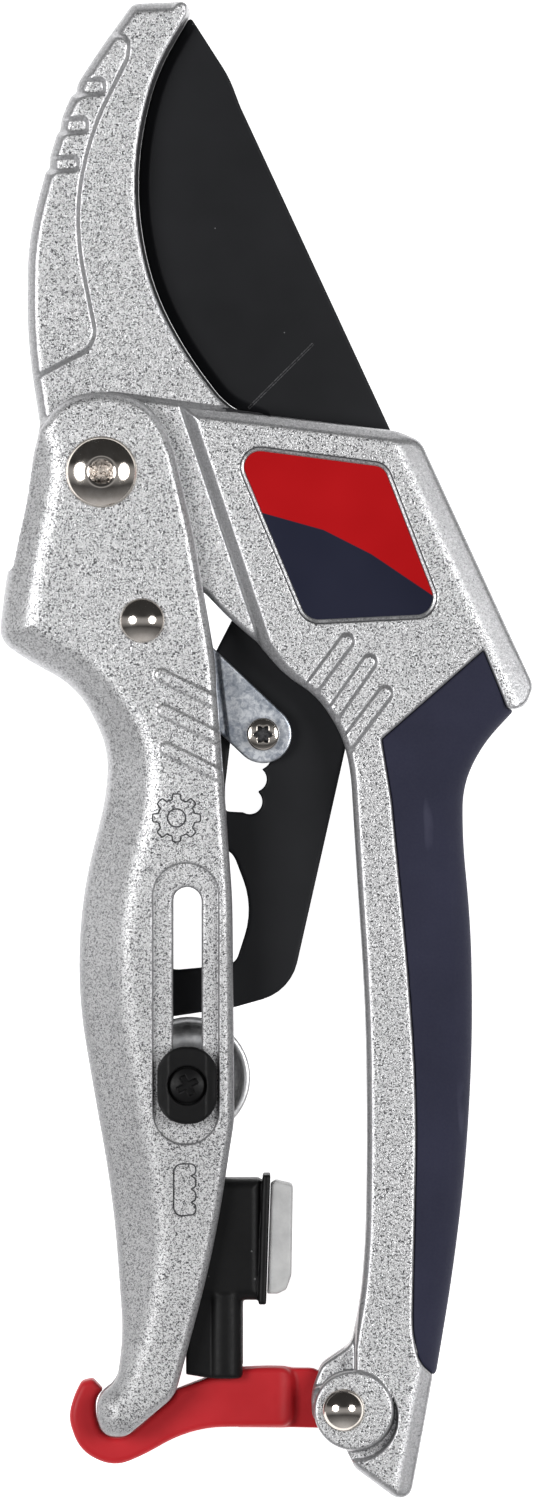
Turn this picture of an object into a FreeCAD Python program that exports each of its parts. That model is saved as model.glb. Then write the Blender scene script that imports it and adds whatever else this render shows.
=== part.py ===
import FreeCAD, Part
import math
import os

from FreeCAD import Vector

# Ratchet anvil pruner lying on its back.  +Y runs from the tail to the jaw tip,
# +X from the moving handle to the fixed handle, +Z out of the front face.
# Everything is drawn about the blade's mid-plane and lifted onto the floor at the end.
# All lengths are millimetres.

# ---- heights above and below the blade's mid-plane ----
REST_HEIGHT = 11.5          # mid-plane above the floor that the rear rivet heads touch
BLADE_HALF = 1.5
BLADE_SLOT_HALF = 1.8
LINK_INNER = 1.9
LINK_OUTER = 3.4
JAW_HALF = 5.5
JAW_RIB_HALF = 6.2
REGION_HALF = 6.5
CAVITY_HALF = 6.8
HEAD_HALF = 8.5
BOSS_HALF = 9.0
HANDLE_HALF = 10.0
GRIP_HALF = 8.3
TONGUE_HALF = 3.5
LATCH_HALF = 4.0
LATCH_ROOT_HALF = 2.0
LATCH_SLOT_HALF = 2.3

# ---- pivot axes, all parallel to Z ----
MAIN_PIVOT = (-23.3, 38.9)
BLADE_PIVOT = (8.6, 30.1)
LINK_PIVOT = (-17.6, 18.1)
PIN_CENTRE = (-0.7, 2.2)
LATCH_PIVOT = (10.6, -92.4)
TAIL_BOSS = (12.0, -92.5)
SLIDER_CENTRE = (-11.3, -46.9)

# ---- rivets, bolts and bushes ----
RUNNING = 0.05              # radial clearance of a shaft in its bore
MAIN_SHANK_R = 3.2
MAIN_BUSH_R = 4.2
MAIN_HEAD_R = 5.0
MAIN_DOME = 2.2
MAIN_DIMPLE_R = 2.4
LUG_R = 9.3
LINK_SHANK_R = 1.9
LINK_HEAD_R = 3.1
LINK_DOME = 1.7
REAR_HEAD = 0.9
BOLT_SHANK_R = 3.0
BOLT_HEAD_R = 5.0
BOLT_HEAD = 2.0
NUT_ACROSS_FLATS = 10.0
LATCH_SHANK_R = 1.8
LATCH_HEAD_R = 2.95
LATCH_DOME = 1.9

# ---- opening spring and pawl spring ----
SPRING_WIRE_R = 0.55
SPRING_COIL_R = 6.4
SPRING_PITCH = 1.25
SPRING_TURNS = 1.0
SPRING_POCKET_INNER = 5.3
SPRING_POCKET_OUTER = 7.6
SPRING_POCKET_DEPTH = 3.2
PAWL_WIRE_R = 0.4
PAWL_COIL_R = 2.9
PAWL_PITCH = 0.9
PAWL_TURNS = 2.0

# ---- link and its pin ----
LINK_HALF_WIDTH = 4.06
PIN_R = 1.4
PIN_BORE_R = 0.8
PIN_HEAD_R = 2.3
PIN_HEAD = 1.5
RECESS_R = 0.9
RECESS_DEPTH = 0.8
NOTCH_R = 1.95
NOTCH_STEP = (-0.62, -3.2)
NOTCH_COUNT = 4

# ---- slot, button and disc of the mode slider ----
SLOT_HALF_WIDTH = 2.0
SLOT_TOP = -19.2
SLOT_BOTTOM = -51.5
SLOT_X = -11.3
TRACK_HALF_WIDTH = 4.6
TRACK_TOP = -15.8
TRACK_BOTTOM = -55.2
TRACK_DEPTH = 1.0
BUTTON_HALF_WIDTH = 4.2
BUTTON_HALF_LENGTH = 5.4
BUTTON_HEIGHT = 2.4
SLIDER_SCREW_R = 1.2
SLIDER_SCREW_HEAD_R = 2.5
DISC_R = 8.5
DISC_RIM = 1.1
DISC_CENTRE = (-11.0, -45.9)
DISC_BOTTOM = 4.2
DISC_TOP = 5.6
WASHER_R = 3.6

# ---- edge breaks ----
JAW_CHAMFER = 0.8
HEAD_CHAMFER = 1.2
HANDLE_FILLET = 2.0
GRIP_FILLET = 3.0
LATCH_FILLET = 1.0
BUTTON_CHAMFER = 0.7
NUT_FILLET = 0.5

# ---- small gaps ----
EDGE_GAP = 0.2              # cutting edge to anvil
TIP_Y = 102.2               # where the blade's point is ground off square
BEVEL = 1.1
SHARP_JOIN = 2              # offset keeps sharp corners
CATCH_GAP = 0.35            # latch hook to handle toe
FORK_HALF = 4.6             # half the gap between the toe's two ears
SKIRT_LOW = 4.4             # underside of the bumper post's skirt, clear of the latch
SKIRT_TOP_Y = -86.3
LOBE_HEIGHT = 4.5           # lowered shoulder beside the tail boss
BOSS_R = 5.6
LATCH_EYE_R = 3.4
BAR_HEIGHT = 0.5
HANDLE_BAR_HEIGHT = 0.35
BAR_HALF_WIDTH = 0.9
LABEL_RECESS = 0.5
LABEL_THICKNESS = 0.4
BUTTON_LIFT = 0.2           # button's underside above the track floor
NECK_GAP = 0.3              # button neck to the slot's sides
SCREW_SEAT = 1.2            # screw head sunk this far into the button
SCREW_DOME = 1.1
SCREW_END = 2.6             # height of the screw's rear end
SCREW_END_R = 2.2
CROSS_REACH = 1.3
CROSS_WIDTH = 0.6
CROSS_DEPTH = 0.5
DISC_WELL = 0.4
PAD_INSET = 0.8
PAWL_SPRING_LIFT = 0.8
LINK_NUT_R = 2.0
LINK_NUT_HEIGHT = 1.6
LINK_SCREW_TAIL = 1.2
DIMPLE_BALL_R = 3.0
DIMPLE_LIFT = 2.0
BOLT_TAIL = 0.5             # bolt's end short of the floor
PAST = 1.0                  # cutters reach this far past what they cut

SMOOTH = None               # corner radius: the largest that its two sides allow

# ---- outlines: corners as (x, y, corner radius) ----
JAW = [
    (-10.7, 105.0, 1.4), (-19.0, 104.7, 1.8), (-24.0, 97.7, SMOOTH), (-28.1, 91.3, SMOOTH),
    (-31.2, 81.2, SMOOTH), (-33.7, 71.4, SMOOTH), (-33.8, 57.4, SMOOTH), (-32.0, 45.6, 0),
    (-29.2, 39.2, 0), (-0.9, 39.2, 0), (-0.9, 46.3, 0), (-5.8, 48.3, SMOOTH),
    (-11.5, 55.8, SMOOTH), (-16.1, 64.6, SMOOTH), (-18.3, 75.0, SMOOTH), (-18.1, 85.2, SMOOTH),
    (-15.6, 95.2, SMOOTH), (-11.0, 103.0, 0),
]
JAW_RIB = [
    (-32.1, 52.5, 0), (-25.3, 55.9, 2.8), (-24.0, 58.1, SMOOTH), (-26.5, 70.6, SMOOTH),
    (-26.5, 78.4, SMOOTH), (-24.4, 87.4, SMOOTH), (-19.4, 96.9, 1.6), (-19.3, 99.7, 1.3),
    (-22.5, 100.2, 1.3), (-24.0, 96.6, SMOOTH), (-28.0, 90.2, SMOOTH), (-30.9, 80.9, SMOOTH),
    (-33.1, 71.4, SMOOTH), (-33.2, 58.8, SMOOTH),
]
REGION = [
    (-32.0, 45.6, 0), (-27.1, 49.4, 2.8), (-21.9, 50.0, 0), (-0.9, 47.2, 0), (4.4, 11.2, 0),
    (-0.6, 14.3, 0), (-5.1, 18.1, SMOOTH), (-8.9, 22.1, 2.8), (-18.0, 27.2, 5.6),
    (-29.2, 28.6, 5.6), (-33.4, 37.8, 5.6),
]
HEAD = [
    (-12.3, 48.3, 0), (-0.1, 46.9, 42.0), (18.1, 44.7, 7.0), (21.4, 43.3, 2.8),
    (37.2, 9.0, 2.2), (35.8, 5.5, 2.0), (33.5, 5.9, 0), (30.2, 14.0, 0), (15.9, 1.5, 0),
    (17.3, -7.0, 0), (19.7, -31.5, SMOOTH), (20.9, -49.7, SMOOTH), (20.2, -81.2, SMOOTH),
    (21.1, -85.7, SMOOTH), (23.1, -87.6, 0), (22.0, -93.8, SMOOTH), (19.7, -106.1, 1.8),
    (12.2, -100.6, 2.0), (10.9, -98.0, 0), (6.2, -93.5, 2.0), (6.0, -89.9, SMOOTH),
    (7.5, -86.2, 2.8), (11.7, -83.3, 2.8), (13.0, -77.0, SMOOTH), (13.7, -68.6, SMOOTH),
    (13.9, -54.6, SMOOTH), (13.7, -36.4, SMOOTH), (12.5, -18.2, SMOOTH), (11.6, -2.8, SMOOTH),
    (10.4, 2.1, SMOOTH), (6.9, 7.6, SMOOTH), (2.3, 10.5, SMOOTH), (-0.9, 14.3, 0),
]
GRIP = [
    (30.2, 14.0, 0), (34.4, 5.3, 0), (30.2, 0.8, SMOOTH), (27.4, -4.9, SMOOTH),
    (27.4, -12.6, SMOOTH), (28.6, -25.2, SMOOTH), (28.8, -40.6, SMOOTH),
    (27.9, -57.4, SMOOTH), (26.1, -72.8, SMOOTH), (23.7, -87.1, 0), (23.1, -87.6, 0),
    (21.1, -85.7, SMOOTH), (20.2, -81.2, SMOOTH), (20.9, -49.7, SMOOTH), (19.7, -31.5, SMOOTH),
    (17.3, -7.0, 0), (15.9, 1.5, 0),
]
TONGUE = [
    (26.8, 8.4, 1.4), (30.0, 4.8, 1.4), (25.7, -2.8, 4.2), (24.5, -14.0, SMOOTH),
    (25.6, -29.4, SMOOTH), (25.8, -42.0, SMOOTH), (24.9, -60.2, SMOOTH), (22.6, -77.0, 2.8),
    (18.4, -81.2, 0), (18.4, -49.0, 0), (15.6, -1.4, 0),
]
HANDLE = [
    (-32.0, 44.8, 4.2), (-28.9, 49.1, SMOOTH), (-23.5, 50.4, SMOOTH), (-16.9, 49.0, SMOOTH),
    (-13.5, 43.4, SMOOTH), (-10.4, 30.1, 56.0), (-7.4, 12.6, 56.0), (-5.0, -21.0, 84.0),
    (-4.7, -51.8, 16.8), (-7.6, -70.3, SMOOTH), (-12.1, -87.1, SMOOTH), (-13.0, -90.4, SMOOTH),
    (-20.2, -96.4, SMOOTH), (-23.0, -96.2, SMOOTH), (-24.1, -93.8, SMOOTH),
    (-24.1, -90.4, SMOOTH), (-21.3, -88.6, SMOOTH), (-20.4, -81.9, SMOOTH),
    (-21.8, -63.0, SMOOTH), (-24.7, -46.9, SMOOTH), (-26.7, -35.0, SMOOTH),
    (-26.4, -21.0, SMOOTH), (-22.8, -6.3, SMOOTH), (-22.5, 0.3, SMOOTH), (-26.7, 8.7, SMOOTH),
    (-34.0, 12.6, SMOOTH), (-37.9, 15.4, 3.6), (-36.5, 26.6, SMOOTH), (-34.2, 36.4, SMOOTH),
]
CAVITY = [
    (4.4, 63.0, 0), (4.4, -85.7, 0), (-13.8, -85.7, 0), (-17.2, -81.2, SMOOTH),
    (-18.6, -63.0, SMOOTH), (-21.4, -46.9, SMOOTH), (-23.3, -35.0, SMOOTH),
    (-23.0, -21.7, SMOOTH), (-19.4, -7.0, SMOOTH), (-19.1, 0.0, SMOOTH), (-23.6, 8.4, SMOOTH),
    (-29.2, 12.6, SMOOTH), (-33.4, 16.8, 4.2), (-32.8, 24.5, 0), (-43.2, 26.6, 0),
    (-43.2, 63.0, 0),
]
BLADE = [
    (-13.0, 103.3, 0), (-20.8, 84.0, 0), (-18.0, 63.0, 0), (-4.0, 45.6, 0), (-0.9, 43.4, 2.8),
    (0.2, 37.8, 8.4), (-0.9, 26.6, 8.4), (-5.1, 18.2, 0.8), (-6.2, 13.3, 0), (-5.8, -8.7, 1.4),
    (-16.6, -9.5, 2.8), (-17.4, -21.0, 0), (-17.4, -35.0, 2.8), (-15.2, -37.7, 2.8),
    (-4.6, -36.1, 0), (3.2, -33.9, 7.0), (10.9, 0.3, 4.2),
    (16.7, 21.0, 11.2), (18.8, 39.2, 5.6), (17.2, 44.9, 0), (-3.9, 90.4, 16.8),
    (-5.4, 94.4, 16.8), (-10.9, 103.0, 0),
]
PAWL_WINDOW = [(-4.8, 5.3, 1.1), (-1.4, 5.3, 0), (-3.4, -8.6, 0), (-4.8, -8.1, 1.1)]
DISC_WINDOW = [
    (-15.5, -12.3, 2.8), (-5.1, -14.0, 2.8), (-2.0, -22.1, SMOOTH), (-4.6, -30.1, 2.0),
    (-15.5, -31.1, 2.8),
]
BLADE_SLOT = [
    (-5.2, 46.8, 0), (-3.0, 44.6, 0), (-3.0, 37.8, 0), (-4.5, 30.1, 2.8), (-11.2, 25.5, 2.8),
    (-13.4, 10.0, 0), (-9.5, -35.0, 0), (8.6, -35.0, 0), (12.0, -1.5, 4.0), (18.0, 21.0, 8.0),
    (21.2, 29.4, 2.8), (25.7, 35.0, 0), (49.0, 35.0, 0), (49.0, 77.0, 0), (-5.2, 77.0, 0),
]
LATCH = [
    (-24.6, -88.2, 0.6), (-26.2, -88.6, 1.0), (-27.4, -91.0, SMOOTH), (-28.0, -93.8, SMOOTH),
    (-26.4, -98.4, SMOOTH), (-21.6, -100.6, SMOOTH), (-17.4, -98.9, SMOOTH),
    (-12.9, -96.3, SMOOTH), (-8.4, -95.0, SMOOTH), (4.0, -94.9, 2.2), (4.0, -86.7, 2.2),
    (-0.9, -86.5, SMOOTH), (-6.0, -87.2, SMOOTH), (-11.0, -89.0, SMOOTH), (-16.6, -91.3, 0),
    (-22.6, -91.0, 0), (-23.3, -89.6, 0.3),
]
LATCH_ROOT = [(2.0, -94.4, 0), (10.6, -95.2, 0), (10.6, -89.6, 0), (2.0, -87.0, 0)]
LATCH_SWEEP = [
    (10.6, -84.0, 0), (14.2, -89.2, 0), (14.2, -96.0, 0), (8.6, -104.0, 0), (0.0, -104.0, 0),
    (0.0, -84.0, 0),
]
TOE_FORK = [
    (-30.0, -87.2, 0), (-30.0, -99.0, 0), (-8.0, -99.0, 0), (-8.0, -90.0, 0), (-20.6, -90.0, 0),
    (-20.6, -87.2, 0),
]
LOBE = [
    (12.2, -79.0, 0), (12.2, -87.5, 0), (8.0, -89.0, 0), (3.0, -89.5, 0), (3.0, -84.0, 0),
    (8.0, -79.0, 0),
]
LABEL = [
    (-4.6, 42.3, 2.2), (16.2, 39.6, 2.0), (23.2, 21.4, 2.2), (22.3, 19.0, 2.2), (5.5, 18.2, 2.5),
]
HOLDER = [
    (-12.5, -59.8, 0), (-0.9, -60.0, 0), (0.5, -59.5, 0), (-0.1, -77.6, 0), (-1.2, -77.8, 0),
    (-3.4, -77.2, 0), (-3.4, -88.1, 0), (-7.8, -88.1, 0), (-11.5, -87.5, 0), (-11.5, -77.0, 0),
    (-12.5, -77.0, 0),
]
PAD = [
    (0.457, -60.8, 0), (2.2, -60.7, 0), (3.4, -62.2, 0), (3.3, -73.6, 0), (2.6, -75.6, 0),
    (1.4, -76.2, 0), (-0.054, -76.2, 0),
]
HEAD_BARS = [((10.9, 15.2), (5.9, 8.6)), ((14.2, 12.3), (8.8, 4.4)), ((16.3, 8.0), (11.4, 0.6))]
HANDLE_BARS = [((-15.0, 10.0), (-9.0, 7.1)), ((-14.6, 5.0), (-8.2, 1.6)), ((-14.2, -0.5), (-7.8, -4.0))]


def corner_points(before, corner, after, radius):
    """Start, middle and end of the arc that rounds one corner."""
    to_before = before.sub(corner)
    to_after = after.sub(corner)
    shorter = min(to_before.Length, to_after.Length)
    to_before.normalize()
    to_after.normalize()
    half_angle = to_before.getAngle(to_after) / 2.0
    if radius is None:
        run = shorter * 0.4995
        radius = run * math.tan(half_angle)
    else:
        run = radius / math.tan(half_angle)
    bisector = to_before.add(to_after)
    bisector.normalize()
    centre = corner.add(bisector.multiply(radius / math.sin(half_angle)))
    inward = corner.sub(centre)
    inward.normalize()
    start = corner.add(to_before.multiply(run))
    end = corner.add(to_after.multiply(run))
    return start, centre.add(inward.multiply(radius)), end


def face(corners):
    """Flat face whose outline is straight runs joined by corner arcs."""
    points = [Vector(x, y, 0) for x, y, radius in corners]
    edges = []
    ends = []
    for index, (x, y, radius) in enumerate(corners):
        corner = points[index]
        if radius == 0:
            ends.append((corner, None, corner))
            continue
        after = points[(index + 1) % len(points)]
        ends.append(corner_points(points[index - 1], corner, after, radius))
    for index, (start, middle, end) in enumerate(ends):
        if middle is not None:
            edges.append(Part.Arc(start, middle, end).toShape())
        next_start = ends[(index + 1) % len(ends)][0]
        if end.distanceToPoint(next_start) > 1e-4:
            edges.append(Part.makeLine(end, next_start))
    return Part.Face(Part.Wire(edges))


def plate(corners, half):
    """Outline extruded to the same depth on both sides of the mid-plane."""
    return slab(face(corners), -half, half)


def slab(flat, low, high):
    """Flat face swept from one height to another."""
    lifted = flat.translated(Vector(0, 0, low))
    return lifted.extrude(Vector(0, 0, high - low))


def rod(centre, radius, low, high):
    """Upright cylinder on one of the pivot axes."""
    return Part.makeCylinder(radius, high - low, Vector(centre[0], centre[1], low))


def ring(centre, inner, outer, low, high):
    """Upright tube."""
    return rod(centre, outer, low, high).cut(rod(centre, inner, low, high))


def dome(centre, radius, height, low):
    """Rivet head: a spherical cap on a flat base."""
    ball_r = (radius * radius + height * height) / (2.0 * height)
    ball = Part.makeSphere(ball_r, Vector(centre[0], centre[1], low + height - ball_r))
    return ball.common(rod(centre, radius + 1.0, low, low + height + 1.0))


def disc_with_round_edge(centre, radius, low, high, edge):
    """Flat head whose outer rim is rounded at the far end only."""
    blank = rod(centre, radius, low, high)
    return blank.makeFillet(edge, flat_edges(blank, high, everywhere))


def flat_edges(shape, height, keep):
    """Edges lying in the plane z = height whose middle passes the test."""
    chosen = []
    for edge in shape.Edges:
        box = edge.BoundBox
        if abs(box.ZMin - height) > 1e-4 or abs(box.ZMax - height) > 1e-4:
            continue
        if keep(edge.CenterOfMass):
            chosen.append(edge)
    return chosen


def everywhere(point):
    return True


def bar(start, end, half_width, low, high):
    """Raised bar with round ends between two points."""
    run = Vector(end[0] - start[0], end[1] - start[1], 0)
    side = Vector(-run.y, run.x, 0).normalize().multiply(half_width)
    tip = Vector(run).normalize().multiply(half_width)
    first = Vector(start[0], start[1], 0)
    last = Vector(end[0], end[1], 0)
    edges = [
        Part.makeLine(first.add(side), last.add(side)),
        Part.Arc(last.add(side), last.add(tip), last.sub(side)).toShape(),
        Part.makeLine(last.sub(side), first.sub(side)),
        Part.Arc(first.sub(side), first.sub(tip), first.add(side)).toShape(),
    ]
    return slab(Part.Face(Part.Wire(edges)), low, high)


def coil(centre, coil_r, wire_r, pitch, turns, low):
    """Round wire wound about an upright axis."""
    path = Part.makeLongHelix(pitch, pitch * turns, coil_r)
    section = Part.Wire(Part.makeCircle(wire_r, Vector(coil_r, 0, 0), Vector(0, 1, 0)))
    wire = Part.Wire(path.Edges).makePipeShell([section], True, False)
    return wire.translated(Vector(centre[0], centre[1], low))


def both_faces(shape, half, keep):
    """Chosen edges of the front and the rear face."""
    return flat_edges(shape, half, keep) + flat_edges(shape, -half, keep)


def make_frame():
    """Fixed casting: anvil jaw, slotted head, handle strip and tail."""
    jaw = plate(JAW, JAW_HALF)
    jaw = jaw.makeChamfer(JAW_CHAMFER, both_faces(jaw, JAW_HALF, above_head))
    rib = plate(JAW_RIB, JAW_RIB_HALF)
    region = plate(REGION, REGION_HALF)
    lug = rod(MAIN_PIVOT, LUG_R, -REGION_HALF, REGION_HALF)
    head = plate(HEAD, HEAD_HALF)
    head = head.makeChamfer(HEAD_CHAMFER, both_faces(head, HEAD_HALF, off_grip))
    head = head.cut(slab(face(LOBE), LOBE_HEIGHT, HEAD_HALF + PAST))
    boss = rod(TAIL_BOSS, BOSS_R, -BOSS_HALF, BOSS_HALF)
    tongue = plate(TONGUE, TONGUE_HALF)
    casting = jaw.fuse([rib, region, lug, head, boss, tongue])
    for start, end in HEAD_BARS:
        casting = casting.fuse(bar(start, end, BAR_HALF_WIDTH, HEAD_HALF - PAST, HEAD_HALF + BAR_HEIGHT))
    casting = casting.cut(plate(BLADE_SLOT, BLADE_SLOT_HALF))
    casting = casting.cut(plate(LATCH_SWEEP, LATCH_SLOT_HALF))
    casting = casting.cut(rod(MAIN_PIVOT, MAIN_BUSH_R, -REGION_HALF, REGION_HALF))
    pocket_floor = REGION_HALF - SPRING_POCKET_DEPTH
    pocket = ring(MAIN_PIVOT, SPRING_POCKET_INNER, SPRING_POCKET_OUTER, pocket_floor, REGION_HALF)
    casting = casting.cut(pocket)
    casting = casting.cut(rod(BLADE_PIVOT, BOLT_SHANK_R, -HEAD_HALF, HEAD_HALF))
    casting = casting.cut(rod(BLADE_PIVOT, BOLT_HEAD_R, LABEL_FLOOR - BOLT_HEAD, HEAD_HALF))
    casting = casting.cut(slab(face(LABEL), LABEL_FLOOR, HEAD_HALF + PAST))
    casting = casting.cut(rod(LATCH_PIVOT, LATCH_SHANK_R, -BOSS_HALF, BOSS_HALF))
    return casting.removeSplitter()


def above_head(point):
    """True on the free part of the jaw, clear of the head below it."""
    return point.y > 50.0


def off_grip(point):
    """True away from the line where the casting meets the soft grip."""
    on_grip = 15.5 < point.x < 34.0 and -88.5 < point.y < 14.5
    inside_region = point.x < -0.5 and 14.0 < point.y < 15.0
    return not on_grip and not inside_region


def make_grip():
    """Soft grip moulded over the casting's tongue."""
    body = plate(GRIP, GRIP_HALF)
    body = body.makeFillet(GRIP_FILLET, both_faces(body, GRIP_HALF, grip_outside))
    return body.cut(plate(TONGUE, TONGUE_HALF)).cut(plate(HEAD, HEAD_HALF + PAST))


def grip_outside(point):
    """True on the grip's palm side."""
    return point.x > 25.5 and point.y < 4.8


def make_blade():
    """Blade, pivot eye and notched tang in one plate."""
    anvil = face(JAW).makeOffset2D(EDGE_GAP, join=SHARP_JOIN)
    body = slab(face(BLADE).cut(anvil), -BLADE_HALF, BLADE_HALF)
    tip = Part.makeBox(10.0, 2.0, 4.0 * BLADE_HALF, Vector(-18.0, TIP_Y, -2.0 * BLADE_HALF))
    body = body.cut(tip)
    body = body.cut(plate(PAWL_WINDOW, BLADE_HALF + PAST))
    body = body.cut(plate(DISC_WINDOW, BLADE_HALF + PAST))
    for index in range(NOTCH_COUNT):
        centre = (PIN_CENTRE[0] + index * NOTCH_STEP[0], PIN_CENTRE[1] + index * NOTCH_STEP[1])
        body = body.cut(rod(centre, NOTCH_R, -BLADE_HALF, BLADE_HALF))
    body = body.cut(rod(BLADE_PIVOT, BOLT_SHANK_R + RUNNING, -BLADE_HALF, BLADE_HALF))
    return body.makeChamfer(BEVEL, both_faces(body, BLADE_HALF, cutting_edge))


def cutting_edge(point):
    """True along the curved edge that meets the anvil."""
    back_edge_x = 17.2 - 0.464 * (point.y - 44.9)
    return point.y > 49.5 and point.x < back_edge_x - 1.5


def make_handle():
    """Moving handle: a casting open towards the fixed handle, with a forked toe for the latch."""
    body = plate(HANDLE, HANDLE_HALF)
    body = body.makeFillet(HANDLE_FILLET, both_faces(body, HANDLE_HALF, handle_outside))
    body = body.cut(plate(CAVITY, CAVITY_HALF))
    body = body.cut(plate(TOE_FORK, FORK_HALF))
    slot_end = SLOT_TOP - SLOT_HALF_WIDTH
    slot = bar((SLOT_X, SLOT_BOTTOM), (SLOT_X, slot_end), SLOT_HALF_WIDTH, -HANDLE_HALF, HANDLE_HALF)
    track_start = TRACK_BOTTOM + TRACK_HALF_WIDTH
    track_end = TRACK_TOP - TRACK_HALF_WIDTH
    track = bar((SLOT_X, track_start), (SLOT_X, track_end), TRACK_HALF_WIDTH, TRACK_FLOOR, HANDLE_HALF)
    body = body.cut(slot).cut(track)
    for start, end in HANDLE_BARS:
        top = HANDLE_HALF + HANDLE_BAR_HEIGHT
        body = body.fuse(bar(start, end, BAR_HALF_WIDTH, HANDLE_HALF - PAST, top))
    body = body.cut(rod(MAIN_PIVOT, MAIN_SHANK_R, -HANDLE_HALF, HANDLE_HALF))
    body = body.cut(rod(LINK_PIVOT, LINK_SHANK_R, -HANDLE_HALF, HANDLE_HALF))
    return body.removeSplitter()


def handle_outside(point):
    """True on the palm side and the toe of the moving handle."""
    return point.x < -18.0 and point.y < 30.0


def make_main_rivet():
    """Shouldered rivet with a dimpled dome, turning with the moving handle."""
    head = dome(MAIN_PIVOT, MAIN_HEAD_R, MAIN_DOME, HANDLE_HALF)
    ball_height = HANDLE_HALF + MAIN_DOME + DIMPLE_LIFT
    dimple = Part.makeSphere(DIMPLE_BALL_R, Vector(MAIN_PIVOT[0], MAIN_PIVOT[1], ball_height))
    shank = rod(MAIN_PIVOT, MAIN_SHANK_R, -HANDLE_HALF, HANDLE_HALF)
    return head.cut(dimple).fuse(shank).removeSplitter()


def make_main_nut():
    """Rear rivet head, rounded where it meets the floor."""
    head = disc_with_round_edge(MAIN_PIVOT, MAIN_HEAD_R, HANDLE_HALF, REST_HEIGHT, NUT_FILLET)
    return to_rear(head)


def to_rear(shape):
    """The shape's mirror image through the blade's mid-plane."""
    return shape.mirror(Vector(0, 0, 0), Vector(0, 0, 1))


def make_pivot_bolt():
    """Bolt of the blade's pivot, its head hidden under the label."""
    shank = rod(BLADE_PIVOT, BOLT_SHANK_R, BOLT_TAIL - REST_HEIGHT, LABEL_FLOOR - BOLT_HEAD)
    return shank.fuse(rod(BLADE_PIVOT, BOLT_HEAD_R, LABEL_FLOOR - BOLT_HEAD, LABEL_FLOOR))


def make_latch_rivet():
    """Rivet that the latch turns on."""
    shank = rod(LATCH_PIVOT, LATCH_SHANK_R, -BOSS_HALF, BOSS_HALF)
    front = dome(LATCH_PIVOT, LATCH_HEAD_R, LATCH_DOME, BOSS_HALF)
    rear = rod(LATCH_PIVOT, LATCH_HEAD_R, -REST_HEIGHT, -BOSS_HALF)
    return shank.fuse([front, rear])


def make_link_rivet():
    """Rivet that joins the link's cheeks to the moving handle."""
    shank = rod(LINK_PIVOT, LINK_SHANK_R, -HANDLE_HALF, HANDLE_HALF)
    front = dome(LINK_PIVOT, LINK_HEAD_R, LINK_DOME, HANDLE_HALF)
    rear = rod(LINK_PIVOT, LINK_HEAD_R, -HANDLE_HALF - REAR_HEAD, -HANDLE_HALF)
    return shank.fuse([front, rear])


def make_link():
    """One cheek of the pawl link: a bar with round ends."""
    cheek = bar(LINK_PIVOT, PIN_CENTRE, LINK_HALF_WIDTH, LINK_INNER, LINK_OUTER)
    cheek = cheek.cut(rod(LINK_PIVOT, LINK_SHANK_R + RUNNING, LINK_INNER, LINK_OUTER))
    return cheek.cut(rod(PIN_CENTRE, PIN_BORE_R, LINK_INNER, LINK_OUTER))


def make_link_screw():
    """Screw through the link's cheeks that carries the pin sleeve."""
    shank = rod(PIN_CENTRE, PIN_BORE_R, -LINK_OUTER - LINK_SCREW_TAIL, LINK_OUTER)
    head = dome(PIN_CENTRE, PIN_HEAD_R, PIN_HEAD, LINK_OUTER)
    recess_floor = LINK_OUTER + PIN_HEAD - RECESS_DEPTH
    recess = star_recess(PIN_CENTRE, RECESS_R, recess_floor, LINK_OUTER + PIN_HEAD + PAST)
    return shank.fuse(head).cut(recess)


def star_recess(centre, radius, low, high):
    """Six-lobed driver recess: lobes set round a core."""
    shape = rod(centre, radius * 0.7, low, high)
    for index in range(6):
        angle = math.radians(60.0 * index)
        reach = radius * 0.65
        spot = (centre[0] + reach * math.cos(angle), centre[1] + reach * math.sin(angle))
        shape = shape.fuse(rod(spot, radius * 0.35, low, high))
    return shape


def cross_recess(centre, low, high):
    """Cross-head driver recess."""
    reach = CROSS_REACH
    half = CROSS_WIDTH / 2.0
    corner = Vector(centre[0] - reach, centre[1] - half, low)
    lengthwise = Part.makeBox(2.0 * reach, CROSS_WIDTH, high - low, corner)
    corner = Vector(centre[0] - half, centre[1] - reach, low)
    across = Part.makeBox(CROSS_WIDTH, 2.0 * reach, high - low, corner)
    return lengthwise.fuse(across)


def hexagon_nut(centre, across_flats, bore, low, high):
    """Plain hexagonal nut."""
    corner_r = across_flats / math.sqrt(3.0)
    points = []
    for index in range(7):
        angle = math.radians(60.0 * index)
        spot = Vector(math.cos(angle), math.sin(angle), 0).multiply(corner_r)
        points.append(spot.add(Vector(centre[0], centre[1], 0)))
    blank = slab(Part.Face(Part.makePolygon(points)), low, high)
    return blank.cut(rod(centre, bore, low, high))


def make_latch():
    """Hook that holds the handles closed, with a thin root in the tail's slot."""
    hook = plate(LATCH, LATCH_HALF)
    hook = hook.makeFillet(LATCH_FILLET, both_faces(hook, LATCH_HALF, hook_outside))
    root = plate(LATCH_ROOT, LATCH_ROOT_HALF)
    eye = rod(LATCH_PIVOT, LATCH_EYE_R, -LATCH_ROOT_HALF, LATCH_ROOT_HALF)
    body = hook.fuse([root, eye])
    toe = face(HANDLE).makeOffset2D(CATCH_GAP)
    body = body.cut(slab(toe, -LATCH_HALF - PAST, LATCH_HALF + PAST))
    body = body.cut(rod(LATCH_PIVOT, LATCH_SHANK_R + RUNNING, -LATCH_HALF, LATCH_HALF))
    return body.removeSplitter()


def hook_outside(point):
    """True on the latch's outer and lower edge."""
    near_toe = -26.0 < point.x < -14.0 and point.y > -96.0
    return point.x < 3.0 and not near_toe


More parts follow.
